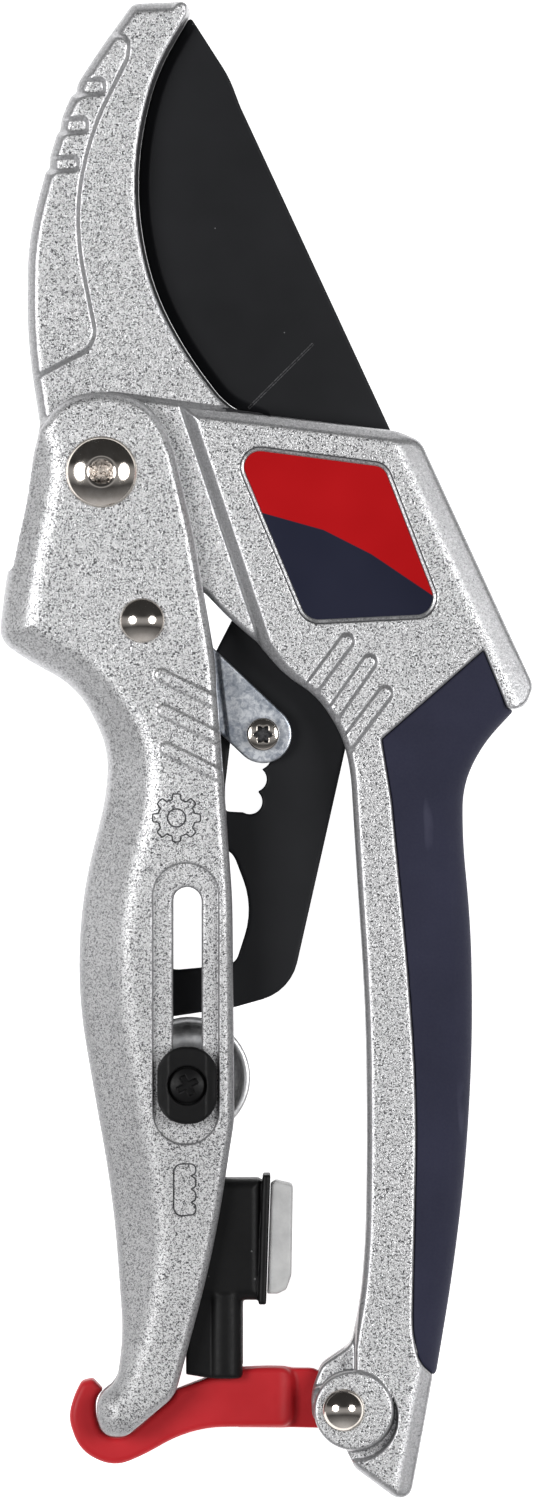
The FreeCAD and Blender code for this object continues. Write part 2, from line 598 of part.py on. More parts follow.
def make_bumper_holder():
    """Bumper block with a post whose front skirt hangs over the latch."""
    body = plate(HOLDER, CAVITY_HALF)
    below = Part.makeBox(12.0, 4.0, CAVITY_HALF + SKIRT_LOW + PAST,
                         Vector(-14.0, SKIRT_TOP_Y - 4.0, -CAVITY_HALF - PAST))
    return body.cut(below)


def make_disc():
    """Slider's guide disc with a raised rim."""
    body = rod(DISC_CENTRE, DISC_R, DISC_BOTTOM, DISC_TOP)
    well = rod(DISC_CENTRE, DISC_R - DISC_RIM, DISC_TOP - DISC_WELL, DISC_TOP)
    hub = rod(SLIDER_CENTRE, WASHER_R, DISC_BOTTOM, DISC_TOP)
    bore = rod(SLIDER_CENTRE, SLIDER_SCREW_R, DISC_BOTTOM, DISC_TOP)
    return body.cut(well).fuse(hub).cut(bore).removeSplitter()


def make_button():
    """Thumb button riding in the slider track."""
    run = BUTTON_HALF_LENGTH - BUTTON_HALF_WIDTH
    start = (SLIDER_CENTRE[0], SLIDER_CENTRE[1] - run)
    end = (SLIDER_CENTRE[0], SLIDER_CENTRE[1] + run)
    cap = bar(start, end, BUTTON_HALF_WIDTH, BUTTON_BASE, BUTTON_TOP)
    cap = cap.makeChamfer(BUTTON_CHAMFER, flat_edges(cap, BUTTON_TOP, everywhere))
    neck = rod(SLIDER_CENTRE, SLOT_HALF_WIDTH - NECK_GAP, WASHER_TOP, BUTTON_BASE)
    body = cap.fuse(neck)
    body = body.cut(rod(SLIDER_CENTRE, SLIDER_SCREW_R, WASHER_TOP, BUTTON_TOP))
    seat = rod(SLIDER_CENTRE, SLIDER_SCREW_HEAD_R, BUTTON_TOP - SCREW_SEAT, BUTTON_TOP)
    return body.cut(seat).removeSplitter()


def make_slider_screw():
    """Cross-head screw that ties button, washer and disc together."""
    seat = BUTTON_TOP - SCREW_SEAT
    shank = rod(SLIDER_CENTRE, SLIDER_SCREW_R, SCREW_END, seat)
    head = dome(SLIDER_CENTRE, SLIDER_SCREW_HEAD_R, SCREW_DOME, seat)
    foot = rod(SLIDER_CENTRE, SCREW_END_R, SCREW_END, DISC_BOTTOM)
    recess = cross_recess(SLIDER_CENTRE, seat + CROSS_DEPTH, BUTTON_TOP + PAST)
    return shank.fuse([head, foot]).cut(recess).removeSplitter()


# ---- heights that follow from the ones at the top ----
LABEL_FLOOR = HEAD_HALF - LABEL_RECESS
TRACK_FLOOR = HANDLE_HALF - TRACK_DEPTH
BUTTON_BASE = TRACK_FLOOR + BUTTON_LIFT
BUTTON_TOP = BUTTON_BASE + BUTTON_HEIGHT
WASHER_TOP = CAVITY_HALF - 0.4
OPENING_SPRING_LOW = REGION_HALF - SPRING_POCKET_DEPTH + SPRING_WIRE_R + RUNNING

parts = {
    "anvil_frame": make_frame(),
    "grip": make_grip(),
    "label": slab(face(LABEL), LABEL_FLOOR, LABEL_FLOOR + LABEL_THICKNESS),
    "pivot_bolt": make_pivot_bolt(),
    "pivot_nut": hexagon_nut(BLADE_PIVOT, NUT_ACROSS_FLATS, BOLT_SHANK_R, -REST_HEIGHT, -HEAD_HALF),
    "main_bush": ring(MAIN_PIVOT, MAIN_SHANK_R + RUNNING, MAIN_BUSH_R, -REGION_HALF, REGION_HALF),
    "opening_spring": coil(MAIN_PIVOT, SPRING_COIL_R, SPRING_WIRE_R, SPRING_PITCH, SPRING_TURNS,
                           OPENING_SPRING_LOW),
    "latch_rivet": make_latch_rivet(),
    "blade": make_blade(),
    "moving_handle": make_handle(),
    "main_rivet": make_main_rivet(),
    "main_nut": make_main_nut(),
    "link_rivet": make_link_rivet(),
    "pawl_spring": coil(LINK_PIVOT, PAWL_COIL_R, PAWL_WIRE_R, PAWL_PITCH, PAWL_TURNS,
                        LINK_OUTER + PAWL_SPRING_LIFT),
    "bumper_holder": make_bumper_holder(),
    "bumper_pad": plate(PAD, CAVITY_HALF - PAD_INSET),
    "link_front": make_link(),
    "link_rear": to_rear(make_link()),
    "link_screw": make_link_screw(),
    "pin_sleeve": ring(PIN_CENTRE, PIN_BORE_R, PIN_R, -LINK_INNER, LINK_INNER),
    "link_nut": ring(PIN_CENTRE, PIN_BORE_R, LINK_NUT_R, -LINK_OUTER - LINK_NUT_HEIGHT, -LINK_OUTER),
    "slider_button": make_button(),
    "slider_screw": make_slider_screw(),
    "slider_disc": make_disc(),
    "slider_washer": ring(SLIDER_CENTRE, SLIDER_SCREW_R, WASHER_R - 0.6, DISC_TOP, WASHER_TOP),
    "latch": make_latch(),
}

# ---- centre the plan on the origin and lift the part onto the floor ----
boxes = [shape.BoundBox for shape in parts.values()]
middle_x = (min(box.XMin for box in boxes) + max(box.XMax for box in boxes)) / 2.0
middle_y = (min(box.YMin for box in boxes) + max(box.YMax for box in boxes)) / 2.0
shift = Vector(-middle_x, -middle_y, REST_HEIGHT)

os.makedirs("parts", exist_ok=True)
for name, shape in parts.items():
    shape.translated(shift).exportStep("parts/" + name + ".step")
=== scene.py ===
import math

import bmesh
import bpy
import numpy as np
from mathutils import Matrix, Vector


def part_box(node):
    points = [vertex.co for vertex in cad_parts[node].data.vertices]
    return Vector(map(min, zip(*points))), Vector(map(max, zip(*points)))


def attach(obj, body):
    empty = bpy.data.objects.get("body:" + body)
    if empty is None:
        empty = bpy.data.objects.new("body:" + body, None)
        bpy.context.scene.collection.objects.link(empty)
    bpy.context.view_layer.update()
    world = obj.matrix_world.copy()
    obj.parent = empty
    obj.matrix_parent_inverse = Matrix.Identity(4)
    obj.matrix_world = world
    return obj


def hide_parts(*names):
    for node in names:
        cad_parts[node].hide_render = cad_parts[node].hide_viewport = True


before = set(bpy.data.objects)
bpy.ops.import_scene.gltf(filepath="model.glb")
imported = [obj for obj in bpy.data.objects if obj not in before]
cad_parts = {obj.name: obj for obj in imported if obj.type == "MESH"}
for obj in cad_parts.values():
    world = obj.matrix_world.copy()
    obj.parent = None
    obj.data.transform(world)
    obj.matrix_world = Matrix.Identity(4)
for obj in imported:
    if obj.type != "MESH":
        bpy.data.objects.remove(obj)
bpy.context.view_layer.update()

import openvdb
from mathutils import Vector
from mathutils.bvhtree import BVHTree

MM = 0.001

# ---------------------------------------------------------------- placement
# Drawing coordinates are millimetres about the blade's mid-plane.  The frame's
# own rivet nut gives where that drawing lies in the row frame.
MAIN_PIVOT = (-23.3, 38.9)
BLADE_PIVOT = (8.6, 30.1)
LINK_PIVOT = (-17.6, 18.1)
PIN_CENTRE = (-0.7, 2.2)
LATCH_PIVOT = (10.6, -92.4)
TAIL_BOSS = (12.0, -92.5)
SLIDER_CENTRE = (-11.3, -46.9)
DISC_CENTRE = (-11.0, -45.9)

nut_low, nut_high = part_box("main_nut")
ORIGIN = Vector((
    (nut_low[0] + nut_high[0]) / 2 - MAIN_PIVOT[0] * MM,
    (nut_low[1] + nut_high[1]) / 2 - MAIN_PIVOT[1] * MM,
    (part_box("blade")[0][2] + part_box("blade")[1][2]) / 2,
))

BLADE_TIP = 102.7
BLADE_CLEARANCE = 0.03
NOTCH_STEP = (0.62, 3.15)

# heights above and below the blade's mid-plane
BLADE_HALF = 1.5
BLADE_SLOT_HALF = 1.8
LINK_INNER = 1.9
LINK_OUTER = 3.4
JAW_HALF = 5.5
JAW_RIB_HALF = 6.2
REGION_HALF = 6.5
CAVITY_HALF = 6.8
HEAD_HALF = 8.5
BOSS_HALF = 9.0
HANDLE_HALF = 10.0
BUTTON_BASE = HANDLE_HALF - 0.8
BUTTON_TOP = HANDLE_HALF + 1.6
GRIP_HALF = 8.3
TONGUE_HALF = 3.5
LATCH_HALF = 4.0
LATCH_ROOT_HALF = 2.0
LATCH_SLOT_HALF = 2.3
REST_HEIGHT = 11.5

# Outlines: corners as (x, y, corner radius) in drawing millimetres.
# A radius of S is the largest that fits between the corner's neighbours.
S = None

JAW = [
    (-10.7, 105.0, 1.4), (-19.0, 104.7, 1.8), (-24.0, 97.7, S), (-28.1, 91.3, S),
    (-31.2, 81.2, S), (-33.7, 71.4, S), (-33.8, 57.4, S), (-32.0, 45.6, 0),
    (-29.2, 39.2, 0), (-0.9, 39.2, 0), (-0.9, 46.3, 0), (-5.8, 48.3, S),
    (-11.5, 55.8, S), (-16.1, 64.6, S), (-18.3, 75.0, S), (-18.1, 85.2, S),
    (-15.6, 95.2, S), (-11.0, 103.0, 0),
]
ANVIL = JAW[9:] + [(-11.0, 140.0, 0), (-90.0, 140.0, 0), (-90.0, 20.0, 0), (-0.9, 20.0, 0)]
JAW_RIB = [
    (-33.0, 51.9, 0), (-25.3, 55.9, 2.8), (-24.0, 58.1, S), (-26.5, 70.6, S),
    (-26.5, 78.4, S), (-24.4, 87.4, S), (-19.6, 96.9, 1.6), (-19.3, 99.7, 1.3),
    (-22.5, 100.6, 1.3), (-26.0, 98.0, S), (-31.0, 90.2, S), (-34.0, 80.9, S),
    (-36.0, 71.4, S), (-36.0, 58.8, S),
]
REGION = [
    (-32.0, 45.6, 0), (-27.1, 49.4, 2.8), (-21.9, 50.0, 0), (-0.9, 47.2, 0), (4.4, 11.2, 0),
    (-0.6, 14.3, 0), (-5.1, 18.1, S), (-8.9, 22.1, 2.8), (-18.0, 27.2, 5.6),
    (-29.2, 28.6, 5.6), (-33.4, 37.8, 5.6),
]
HEAD = [
    (-12.3, 48.3, 0), (-0.1, 46.9, 42.0), (18.1, 44.7, 7.0), (21.4, 43.3, 2.8),
    (37.2, 9.0, 2.2), (35.8, 5.5, 2.0), (33.5, 5.9, 0), (30.2, 14.0, 0), (15.9, 1.5, 0),
    (17.3, -7.0, 0), (19.7, -31.5, S), (20.9, -49.7, S), (20.2, -81.2, S),
    (21.1, -85.7, S), (23.1, -87.6, 0), (22.0, -93.8, S), (19.7, -106.1, 1.8),
    (12.2, -100.6, 2.0), (10.9, -98.0, 0), (6.2, -93.5, 2.0), (6.0, -89.9, S),
    (7.5, -86.2, 2.8), (11.7, -83.3, 2.8), (13.0, -77.0, S), (13.7, -68.6, S),
    (13.9, -54.6, S), (13.7, -36.4, S), (12.5, -18.2, S), (11.6, -2.8, S),
    (10.4, 2.1, S), (6.9, 7.6, S), (2.3, 10.5, S), (-0.9, 14.3, 0),
]
GRIP = [
    (30.2, 14.0, 0), (34.4, 5.3, 0), (30.2, 0.8, S), (27.4, -4.9, S), (27.4, -12.6, S),
    (28.6, -25.2, S), (28.8, -40.6, S), (27.9, -57.4, S), (26.1, -72.8, S),
    (23.7, -87.1, 0), (23.1, -87.6, 0), (21.1, -85.7, S), (20.2, -81.2, S), (20.9, -49.7, S),
    (19.7, -31.5, S), (17.3, -7.0, 0), (15.9, 1.5, 0),
]
TONGUE = [
    (26.8, 8.4, 1.4), (30.0, 4.8, 1.4), (25.7, -2.8, 4.2), (24.5, -14.0, S),
    (25.6, -29.4, S), (25.8, -42.0, S), (24.9, -60.2, S), (22.6, -77.0, 2.8),
    (18.4, -81.2, 0), (18.4, -49.0, 0), (15.6, -1.4, 0),
]
HANDLE = [
    (-32.0, 44.8, 4.2), (-28.9, 49.1, S), (-23.5, 50.4, S), (-16.9, 49.0, S),
    (-13.5, 43.4, S), (-10.4, 30.1, 56.0), (-7.4, 12.6, 56.0), (-5.0, -21.0, 84.0),
    (-4.7, -51.8, 16.8), (-7.6, -70.3, S), (-12.1, -87.1, S), (-13.0, -90.4, S),
    (-20.2, -96.4, S), (-23.0, -96.2, S), (-24.1, -93.8, S), (-24.1, -90.4, S),
    (-21.3, -88.6, S), (-20.4, -81.9, S), (-21.8, -63.0, S), (-24.7, -46.9, S),
    (-26.7, -35.0, S), (-26.4, -21.0, S), (-22.8, -6.3, S), (-22.5, 0.3, S),
    (-26.7, 8.7, S), (-34.0, 12.6, S), (-37.9, 15.4, 3.6), (-36.5, 26.6, S),
    (-34.2, 36.4, S),
]
CAVITY = [
    (4.4, 63.0, 0), (4.4, -85.7, 0), (-13.8, -85.7, 0), (-17.2, -81.2, S),
    (-18.6, -63.0, S), (-21.4, -46.9, S), (-23.3, -35.0, S), (-23.0, -21.7, S),
    (-19.4, -7.0, S), (-19.1, 0.0, S), (-23.6, 8.4, S), (-29.2, 12.6, S),
    (-33.4, 16.8, 4.2), (-32.8, 24.5, 0), (-43.2, 26.6, 0), (-43.2, 63.0, 0),
]
BLADE = [
    (-13.0, 103.3, 0), (-20.8, 84.0, 0), (-18.0, 63.0, 0), (-4.0, 45.6, 0), (-0.9, 43.4, 2.8),
    (0.2, 37.8, 8.4), (-0.9, 26.6, 8.4), (-5.1, 18.2, 0.8), (-7.6, 13.3, 0), (-7.4, -8.7, 1.4),
    (-16.6, -9.5, 2.8), (-17.4, -21.0, 0), (-17.4, -35.0, 2.8), (-15.2, -37.7, 2.8),
    (-4.6, -36.1, 0), (3.2, -33.9, 7.0), (10.9, 0.3, 4.2), (16.7, 21.0, 11.2),
    (18.8, 39.2, 5.6), (17.2, 44.9, 0), (-3.9, 90.4, 16.8), (-5.4, 94.4, 16.8),
    (-10.9, 103.0, 0),
]
PAWL_WINDOW = [(-4.8, 5.3, 1.1), (-1.4, 5.3, 0), (-2.4, -8.8, 0), (-6.0, -8.6, 0.5), (-6.0, -5.0, 1.0)]
DISC_WINDOW = [
    (-15.5, -12.3, 2.8), (-5.1, -14.0, 2.8), (-2.0, -22.1, S), (-4.6, -30.1, 2.0),
    (-15.5, -31.1, 2.8),
]
BLADE_SLOT = [
    (-5.2, 46.8, 0), (-3.0, 44.6, 0), (-3.0, 37.8, 0), (-4.5, 30.1, 2.8), (-11.2, 25.5, 2.8),
    (-13.4, 10.0, 0), (-9.5, -35.0, 0), (8.6, -35.0, 0), (12.0, -1.5, 4.0), (18.0, 21.0, 8.0),
    (21.2, 29.4, 2.8), (25.7, 35.0, 0), (49.0, 35.0, 0), (49.0, 77.0, 0), (-5.2, 77.0, 0),
]
LATCH = [
    (-24.6, -88.2, 0.6), (-26.2, -88.6, 1.0), (-27.4, -91.0, S), (-28.0, -93.8, S),
    (-26.4, -98.4, S), (-21.6, -100.6, S), (-17.4, -98.9, S), (-12.9, -96.3, S),
    (-8.4, -95.0, S), (4.0, -94.9, 2.2), (4.0, -86.7, 2.2), (-0.9, -86.5, S), (-6.0, -87.2, S),
    (-11.0, -89.0, S), (-16.6, -91.3, 0), (-22.6, -91.0, 0), (-23.3, -89.6, 0.3),
]
TOE_FORK = [
    (-30.0, -87.2, 0), (-30.0, -99.0, 0), (-8.0, -99.0, 0), (-8.0, -90.0, 0), (-20.6, -90.0, 0),
    (-20.6, -87.2, 0),
]
LOBE = [
    (12.2, -79.0, 0), (12.2, -87.5, 0), (8.0, -89.0, 0), (3.0, -89.5, 0), (3.0, -84.0, 0),
    (8.0, -79.0, 0),
]
LATCH_SLOT = [
    (10.6, -84.0, 0), (14.2, -89.2, 0), (14.2, -96.0, 0), (8.6, -104.0, 0), (0.0, -104.0, 0),
    (0.0, -84.0, 0),
]
LABEL = [(-4.6, 42.3, 2.2), (16.2, 39.6, 2.0), (23.2, 21.4, 2.2), (22.3, 19.0, 2.2), (5.5, 18.2, 2.5)]
ARC_STEPS = 6

# the most triangles that each meshed piece may have
FACE_LIMITS = {
    "cast_frame": 194000, "cast_handle": 192000, "blade_plate": 120000, "grip_skin": 90000,
    "latch_hook": 80000, "link_cheek_front": 40000, "link_cheek_rear": 40000, "pin_screw": 50000,
    "selector_button": 70000, "selector_screw": 50000, "bumper_block": 60000, "bumper_cushion": 30000,
}


def round_corners(corners):
    """Dense closed polygon: straight runs joined by arcs.  Radius None means the largest that fits."""
    points = np.array([(x, y) for x, y, radius in corners], dtype=float)
    out = []
    for i, (x, y, radius) in enumerate(corners):
        corner = points[i]
        if radius == 0:
            out.append(corner)
            continue
        back = points[i - 1] - corner
        ahead = points[(i + 1) % len(points)] - corner
        shorter = min(np.linalg.norm(back), np.linalg.norm(ahead))
        back = back / np.linalg.norm(back)
        ahead = ahead / np.linalg.norm(ahead)
        half = math.acos(max(-1.0, min(1.0, float(back @ ahead)))) / 2
        if radius is None:
            radius = shorter * 0.4995 * math.tan(half)
        bisector = (back + ahead) / np.linalg.norm(back + ahead)
        centre = corner + bisector * radius / math.sin(half)
        start = corner + back * radius / math.tan(half) - centre
        end = corner + ahead * radius / math.tan(half) - centre
        a0 = math.atan2(start[1], start[0])
        turn = (math.atan2(end[1], end[0]) - a0 + math.pi) % (2 * math.pi) - math.pi
        for k in range(ARC_STEPS + 1):
            a = a0 + turn * k / ARC_STEPS
            out.append(centre + radius * np.array((math.cos(a), math.sin(a))))
    return np.array(out)


def linked_object(name, data):
    obj = bpy.data.objects.new(name, data)
    bpy.context.scene.collection.objects.link(obj)
    return obj


# ---------------------------------------------------------------- distance fields
def column(value):
    """A plan array ready to meet the heights; a plain number stays as it is."""
    return value if np.isscalar(value) else value[:, :, None]


class Field:
    """A grid of distances in millimetres, meshed where they pass through zero."""

    def __init__(self, low, high, pitch):
        self.pitch = pitch
        self.axes = [np.arange(a, b + pitch, pitch, dtype=np.float32) for a, b in zip(low, high)]
        self.x, self.y = np.meshgrid(self.axes[0], self.axes[1], indexing="ij")
        self.z = self.axes[2][None, None, :]

    def polygon(self, corners):
        """Signed distance in the plane to a rounded outline, negative inside."""
        pts = round_corners(corners).astype(np.float32)
        px, py = self.x, self.y
        best = np.full(px.shape, 1e6, dtype=np.float32)
        inside = np.zeros(px.shape, dtype=bool)
        for i in range(len(pts)):
            ax, ay = pts[i - 1]
            bx, by = pts[i]
            ex, ey = bx - ax, by - ay
            length2 = ex * ex + ey * ey
            if length2 < 1e-12:
                continue
            wx, wy = px - ax, py - ay
            t = np.clip((wx * ex + wy * ey) / length2, 0, 1)
            dx, dy = wx - ex * t, wy - ey * t
            np.minimum(best, dx * dx + dy * dy, out=best)
            crosses = (ay > py) != (by > py)
            if abs(ey) > 1e-9:
                inside ^= crosses & (px < ax + (py - ay) * ex / ey)
        distance = np.sqrt(best)
        return np.where(inside, -distance, distance)

    def circle(self, centre, radius):
        return np.hypot(self.x - centre[0], self.y - centre[1]) - radius

    def drilled(self, body, centre, radius):
        """Body with a bore right through it."""
        return np.maximum(body, -self.circle(centre, radius)[:, :, None])

    def capsule(self, start, end, radius):
        """Distance to a bar with round ends."""
        ex, ey = end[0] - start[0], end[1] - start[1]
        wx, wy = self.x - start[0], self.y - start[1]
        t = np.clip((wx * ex + wy * ey) / (ex * ex + ey * ey), 0, 1)
        return np.hypot(wx - ex * t, wy - ey * t) - radius

    def box(self, centre, half, radius=0.0, turn=0.0):
        """Distance to a rounded rectangle."""
        c, s = math.cos(math.radians(turn)), math.sin(math.radians(turn))
        wx, wy = self.x - centre[0], self.y - centre[1]
        qx = np.abs(wx * c + wy * s) - half[0] + radius
        qy = np.abs(-wx * s + wy * c) - half[1] + radius
        outside = np.hypot(np.maximum(qx, 0), np.maximum(qy, 0))
        return outside + np.minimum(np.maximum(qx, qy), 0) - radius

    def line(self, start, end):
        """Signed distance to a line, positive on its left."""
        ex, ey = end[0] - start[0], end[1] - start[1]
        length = math.hypot(ex, ey)
        return (ex * (self.y - start[1]) - ey * (self.x - start[0])) / length

    def rounded(self, flat, top, radius):
        """Plate of half-thickness top whose edges are rounded."""
        radius, top = column(radius), column(top)
        qx = flat[:, :, None] + radius
        qz = np.abs(self.z) - top + radius
        return np.minimum(np.maximum(qx, qz), 0) + np.hypot(np.maximum(qx, 0), np.maximum(qz, 0)) - radius

    def bevelled(self, flat, top, bevel, soft=0.25):
        """Plate of half-thickness top with a flat bevel and slightly soft edges."""
        bevel, top = column(bevel), column(top)
        side = flat[:, :, None] + np.zeros_like(self.z)
        face = np.abs(self.z) - top + np.zeros_like(side)
        cut = (side + face + bevel) * math.sqrt(0.5)
        return smooth_max(smooth_max(side, face, soft), cut, soft)

    def slope(self, side, top, width, degrees):
        """Distance to a plane that falls away from that width inside an edge."""
        angle = math.radians(degrees)
        over = np.abs(self.z) - column(top)
        return over * math.cos(angle) + (side + width)[:, :, None] * math.sin(angle)

    def mesh(self, name, field):
        """Object made from the zero surface; its place is in its vertices."""
        # the outer layer is outside, so that the surface is always closed
        field = np.clip(field, -3 * self.pitch, 3 * self.pitch).astype(np.float32)
        grid = openvdb.FloatGrid(3 * self.pitch)
        grid.copyFromArray(np.ascontiguousarray(field))
        points, triangles, quads = grid.convertToPolygons(isovalue=0.0, adaptivity=0.0)
        low = np.array([axis[0] for axis in self.axes])
        points = (points * self.pitch + low) * MM + np.array(ORIGIN)
        data = bpy.data.meshes.new(name)
        data.vertices.add(len(points))
        data.vertices.foreach_set("co", points.astype(np.float32).ravel())
        data.loops.add(len(quads) * 4)
        data.loops.foreach_set("vertex_index", quads[:, ::-1].ravel().astype(np.int32))
        data.polygons.add(len(quads))
        data.polygons.foreach_set("loop_start", np.arange(0, len(quads) * 4, 4, dtype=np.int32))
        data.polygons.foreach_set("loop_total", np.full(len(quads), 4, dtype=np.int32))
        data.update(calc_edges=True)
        data.validate()
        obj = linked_object(name, data)
        faces = FACE_LIMITS[name]
        if len(quads) * 2 > faces:
            thin = obj.modifiers.new("thin", "DECIMATE")
            thin.ratio = faces / (len(quads) * 2)
            graph = bpy.context.evaluated_depsgraph_get()
            small = bpy.data.meshes.new_from_object(obj.evaluated_get(graph))
            obj.modifiers.clear()
            obj.data = small
            bpy.data.meshes.remove(data)
            small.name = name
        obj.data.shade_smooth()
        return obj


def smooth_min(a, b, k):
    h = np.clip(0.5 + 0.5 * (b - a) / k, 0, 1)
    return b * (1 - h) + a * h - k * h * (1 - h)


def smooth_max(a, b, k):
    return -smooth_min(-a, -b, k)


def blend_range(value, low, high):
    """Smooth step from 0 at low to 1 at high."""
    t = np.clip((value - low) / (high - low), 0, 1)
    return t * t * (3 - 2 * t)


# ---------------------------------------------------------------- materials
def new_material(name):
    mat = bpy.data.materials.new(name)
    mat.use_nodes = True
    nodes = mat.node_tree.nodes
    nodes.clear()
    out = nodes.new("ShaderNodeOutputMaterial")
    shader = nodes.new("ShaderNodeBsdfPrincipled")
    mat.node_tree.links.new(shader.outputs[0], out.inputs[0])
    coords = nodes.new("ShaderNodeTexCoord")
    return mat, mat.node_tree, shader, coords.outputs["Object"]


def feed(tree, socket, value):
    """Link another socket to this one, or set a number or a colour on it."""
    if isinstance(value, bpy.types.NodeSocket):
        tree.links.new(value, socket)
    else:
        socket.default_value = (*value, 1) if socket.type == "RGBA" else value


def add(tree, kind, inputs=(), **settings):
    """A node with some settings; inputs maps socket names or numbers to values or sockets."""
    node = tree.nodes.new(kind)
    for key, value in settings.items():
        setattr(node, key, value)
    for key, value in dict(inputs).items():
        feed(tree, node.inputs[key], value)
    return node


def noise(tree, coords, scale, detail=2.0, rough=0.5, distortion=0.0):
    return add(tree, "ShaderNodeTexNoise", {
        "Vector": coords, "Scale": scale, "Detail": detail, "Roughness": rough, "Distortion": distortion,
    }).outputs["Fac"]


def ramp(tree, factor, stops):
    node = add(tree, "ShaderNodeValToRGB", {"Fac": factor})
    elements = node.color_ramp.elements
    while len(elements) > 1:
        elements.remove(elements[-1])
    elements[0].position, elements[0].color = stops[0][0], (*stops[0][1], 1)
    for place, colour in stops[1:]:
        elements.new(place).color = (*colour, 1)
    return node.outputs["Color"]


def maths(tree, operation, a, b=0.0, clamp=False):
    return add(tree, "ShaderNodeMath", {0: a, 1: b}, operation=operation, use_clamp=clamp).outputs[0]


def span(tree, value, low, high, to_low=0.0, to_high=1.0):
    node = add(tree, "ShaderNodeMapRange", {0: value, 1: low, 2: high, 3: to_low, 4: to_high})
    return node.outputs[0]


def mix(tree, factor, a, b):
    return add(tree, "ShaderNodeMix", {0: factor, 6: a, 7: b}, data_type="RGBA").outputs[2]


def set_shader(shader, tree, colour, metallic=0.0, roughness=0.5, coat=0.0, coat_roughness=0.1,
               specular=0.5):
    for key, value in (
        ("Base Color", colour), ("Roughness", roughness), ("Metallic", metallic),
        ("Specular IOR Level", specular), ("Coat Weight", coat), ("Coat Roughness", coat_roughness),
    ):
        feed(tree, shader.inputs[key], value)


def bump(tree, shader, height, strength, distance):
    node = add(tree, "ShaderNodeBump", {"Height": height, "Strength": strength, "Distance": distance})
    feed(tree, shader.inputs["Normal"], node.outputs[0])


def specks(tree, coords, scale, reach, patches, rare):
    """Factor that is 1 on small dots, in scattered patches only."""
    near = add(tree, "ShaderNodeTexVoronoi", {"Vector": coords, "Scale": scale}).outputs["Distance"]
    dot = span(tree, near, *reach, 1.0, 0.0)
    return maths(tree, "MULTIPLY", dot, span(tree, noise(tree, coords, patches, 0.0), *rare))


def sparkle_paint(name, steep, level, worn=0.0):
    """Silver paint: a fine wrinkled sparkle on the flats, smoother on slopes past steep and greyer there as
    painted shade.

    worn makes it that much rougher towards the foot of a handle, and a little darker there as painted shade.
    """
    mat, tree, shader, coords = new_material(name)
    normal = tree.nodes.new("ShaderNodeNewGeometry").outputs["Normal"]
    upright = maths(tree, "ABSOLUTE", add(tree, "ShaderNodeSeparateXYZ", {0: normal}).outputs[2])
    flat = span(tree, upright, steep, level)
    fine = noise(tree, coords, 4100.0, 1.2, 0.5, 1.2)
    coarse = noise(tree, coords, 1500.0, 2.0, 0.6)
    cloud = noise(tree, coords, 60.0, 2.0, 0.5)
    along = add(tree, "ShaderNodeSeparateXYZ", {0: coords}).outputs[1]
    foot = span(tree, along, ORIGIN.y - 8 * MM, ORIGIN.y - 30 * MM, 0.0, worn)
    grain = ramp(tree, fine, [
        (0.38, (0.09, 0.09, 0.095)), (0.45, (0.54, 0.54, 0.55)), (0.52, (0.98, 0.98, 0.985)),
    ])
    # painted shade: the slopes get this greyer, calmer colour in place of their darker reflection
    painted_slope_shade = ramp(tree, fine, [(0.35, (0.34, 0.34, 0.35)), (0.65, (0.58, 0.58, 0.59))])
    # tone varies at random, and worn lowers it towards the handle's foot as painted shade
    tone = maths(tree, "SUBTRACT", span(tree, cloud, 0.3, 0.7, 0.96, 1.03), foot)
    mixed = mix(tree, flat, painted_slope_shade, grain)
    shade = add(tree, "ShaderNodeVectorMath", {0: mixed, 3: tone}, operation="SCALE").outputs[0]
    rough = maths(tree, "ADD", span(tree, coarse, 0.3, 0.7, 0.27, 0.40), foot)
    set_shader(shader, tree, shade, metallic=0.6, roughness=rough, coat=0.2, coat_roughness=0.2)
    height = maths(tree, "ADD", fine, maths(tree, "MULTIPLY", coarse, 0.5))
    height = maths(tree, "MULTIPLY", height, span(tree, flat, 0.0, 1.0, 0.25, 1.0))
    bump(tree, shader, height, 0.7, 0.00008)
    return mat


def coated_steel():
    """Satin black non-stick coating with a few pale specks."""
    mat, tree, shader, coords = new_material("coated_steel")
    dust = specks(tree, coords, 420.0, (0.035, 0.06), 160.0, (0.66, 0.70))
    cloud = noise(tree, coords, 45.0, 3.0, 0.6)
    fine = noise(tree, coords, 3500.0, 2.0, 0.6)
    body = ramp(tree, cloud, [(0.3, (0.011, 0.0115, 0.013)), (0.7, (0.017, 0.0175, 0.020))])
    colour = mix(tree, dust, body, (0.25, 0.25, 0.26))
    rough = span(tree, cloud, 0.3, 0.7, 0.42, 0.5)
    set_shader(shader, tree, colour, metallic=0.0, roughness=rough, specular=0.2)
    bump(tree, shader, fine, 0.25, 0.00003)
    return mat


def zinc_plate(name="zinc_plate", tint=(0.40, 0.45, 0.53), pale=(0.88, 0.91, 0.95), rough=(0.28, 0.48)):
    """Zinc plating with cloudy spangle."""
    mat, tree, shader, coords = new_material(name)
    cloud = noise(tree, coords, 1300.0, 4.0, 0.7, 0.6)
    broad = noise(tree, coords, 160.0, 3.0, 0.6)
    mixed = maths(tree, "ADD", maths(tree, "MULTIPLY", cloud, 0.6), maths(tree, "MULTIPLY", broad, 0.4))
    between = tuple((a + b) / 2 for a, b in zip(tint, pale))
    colour = ramp(tree, mixed, [(0.40, tint), (0.5, between), (0.58, pale)])
    set_shader(shader, tree, colour, metallic=1.0, roughness=span(tree, mixed, 0.35, 0.65, *rough))
    bump(tree, shader, cloud, 0.25, 0.00004)
    return mat


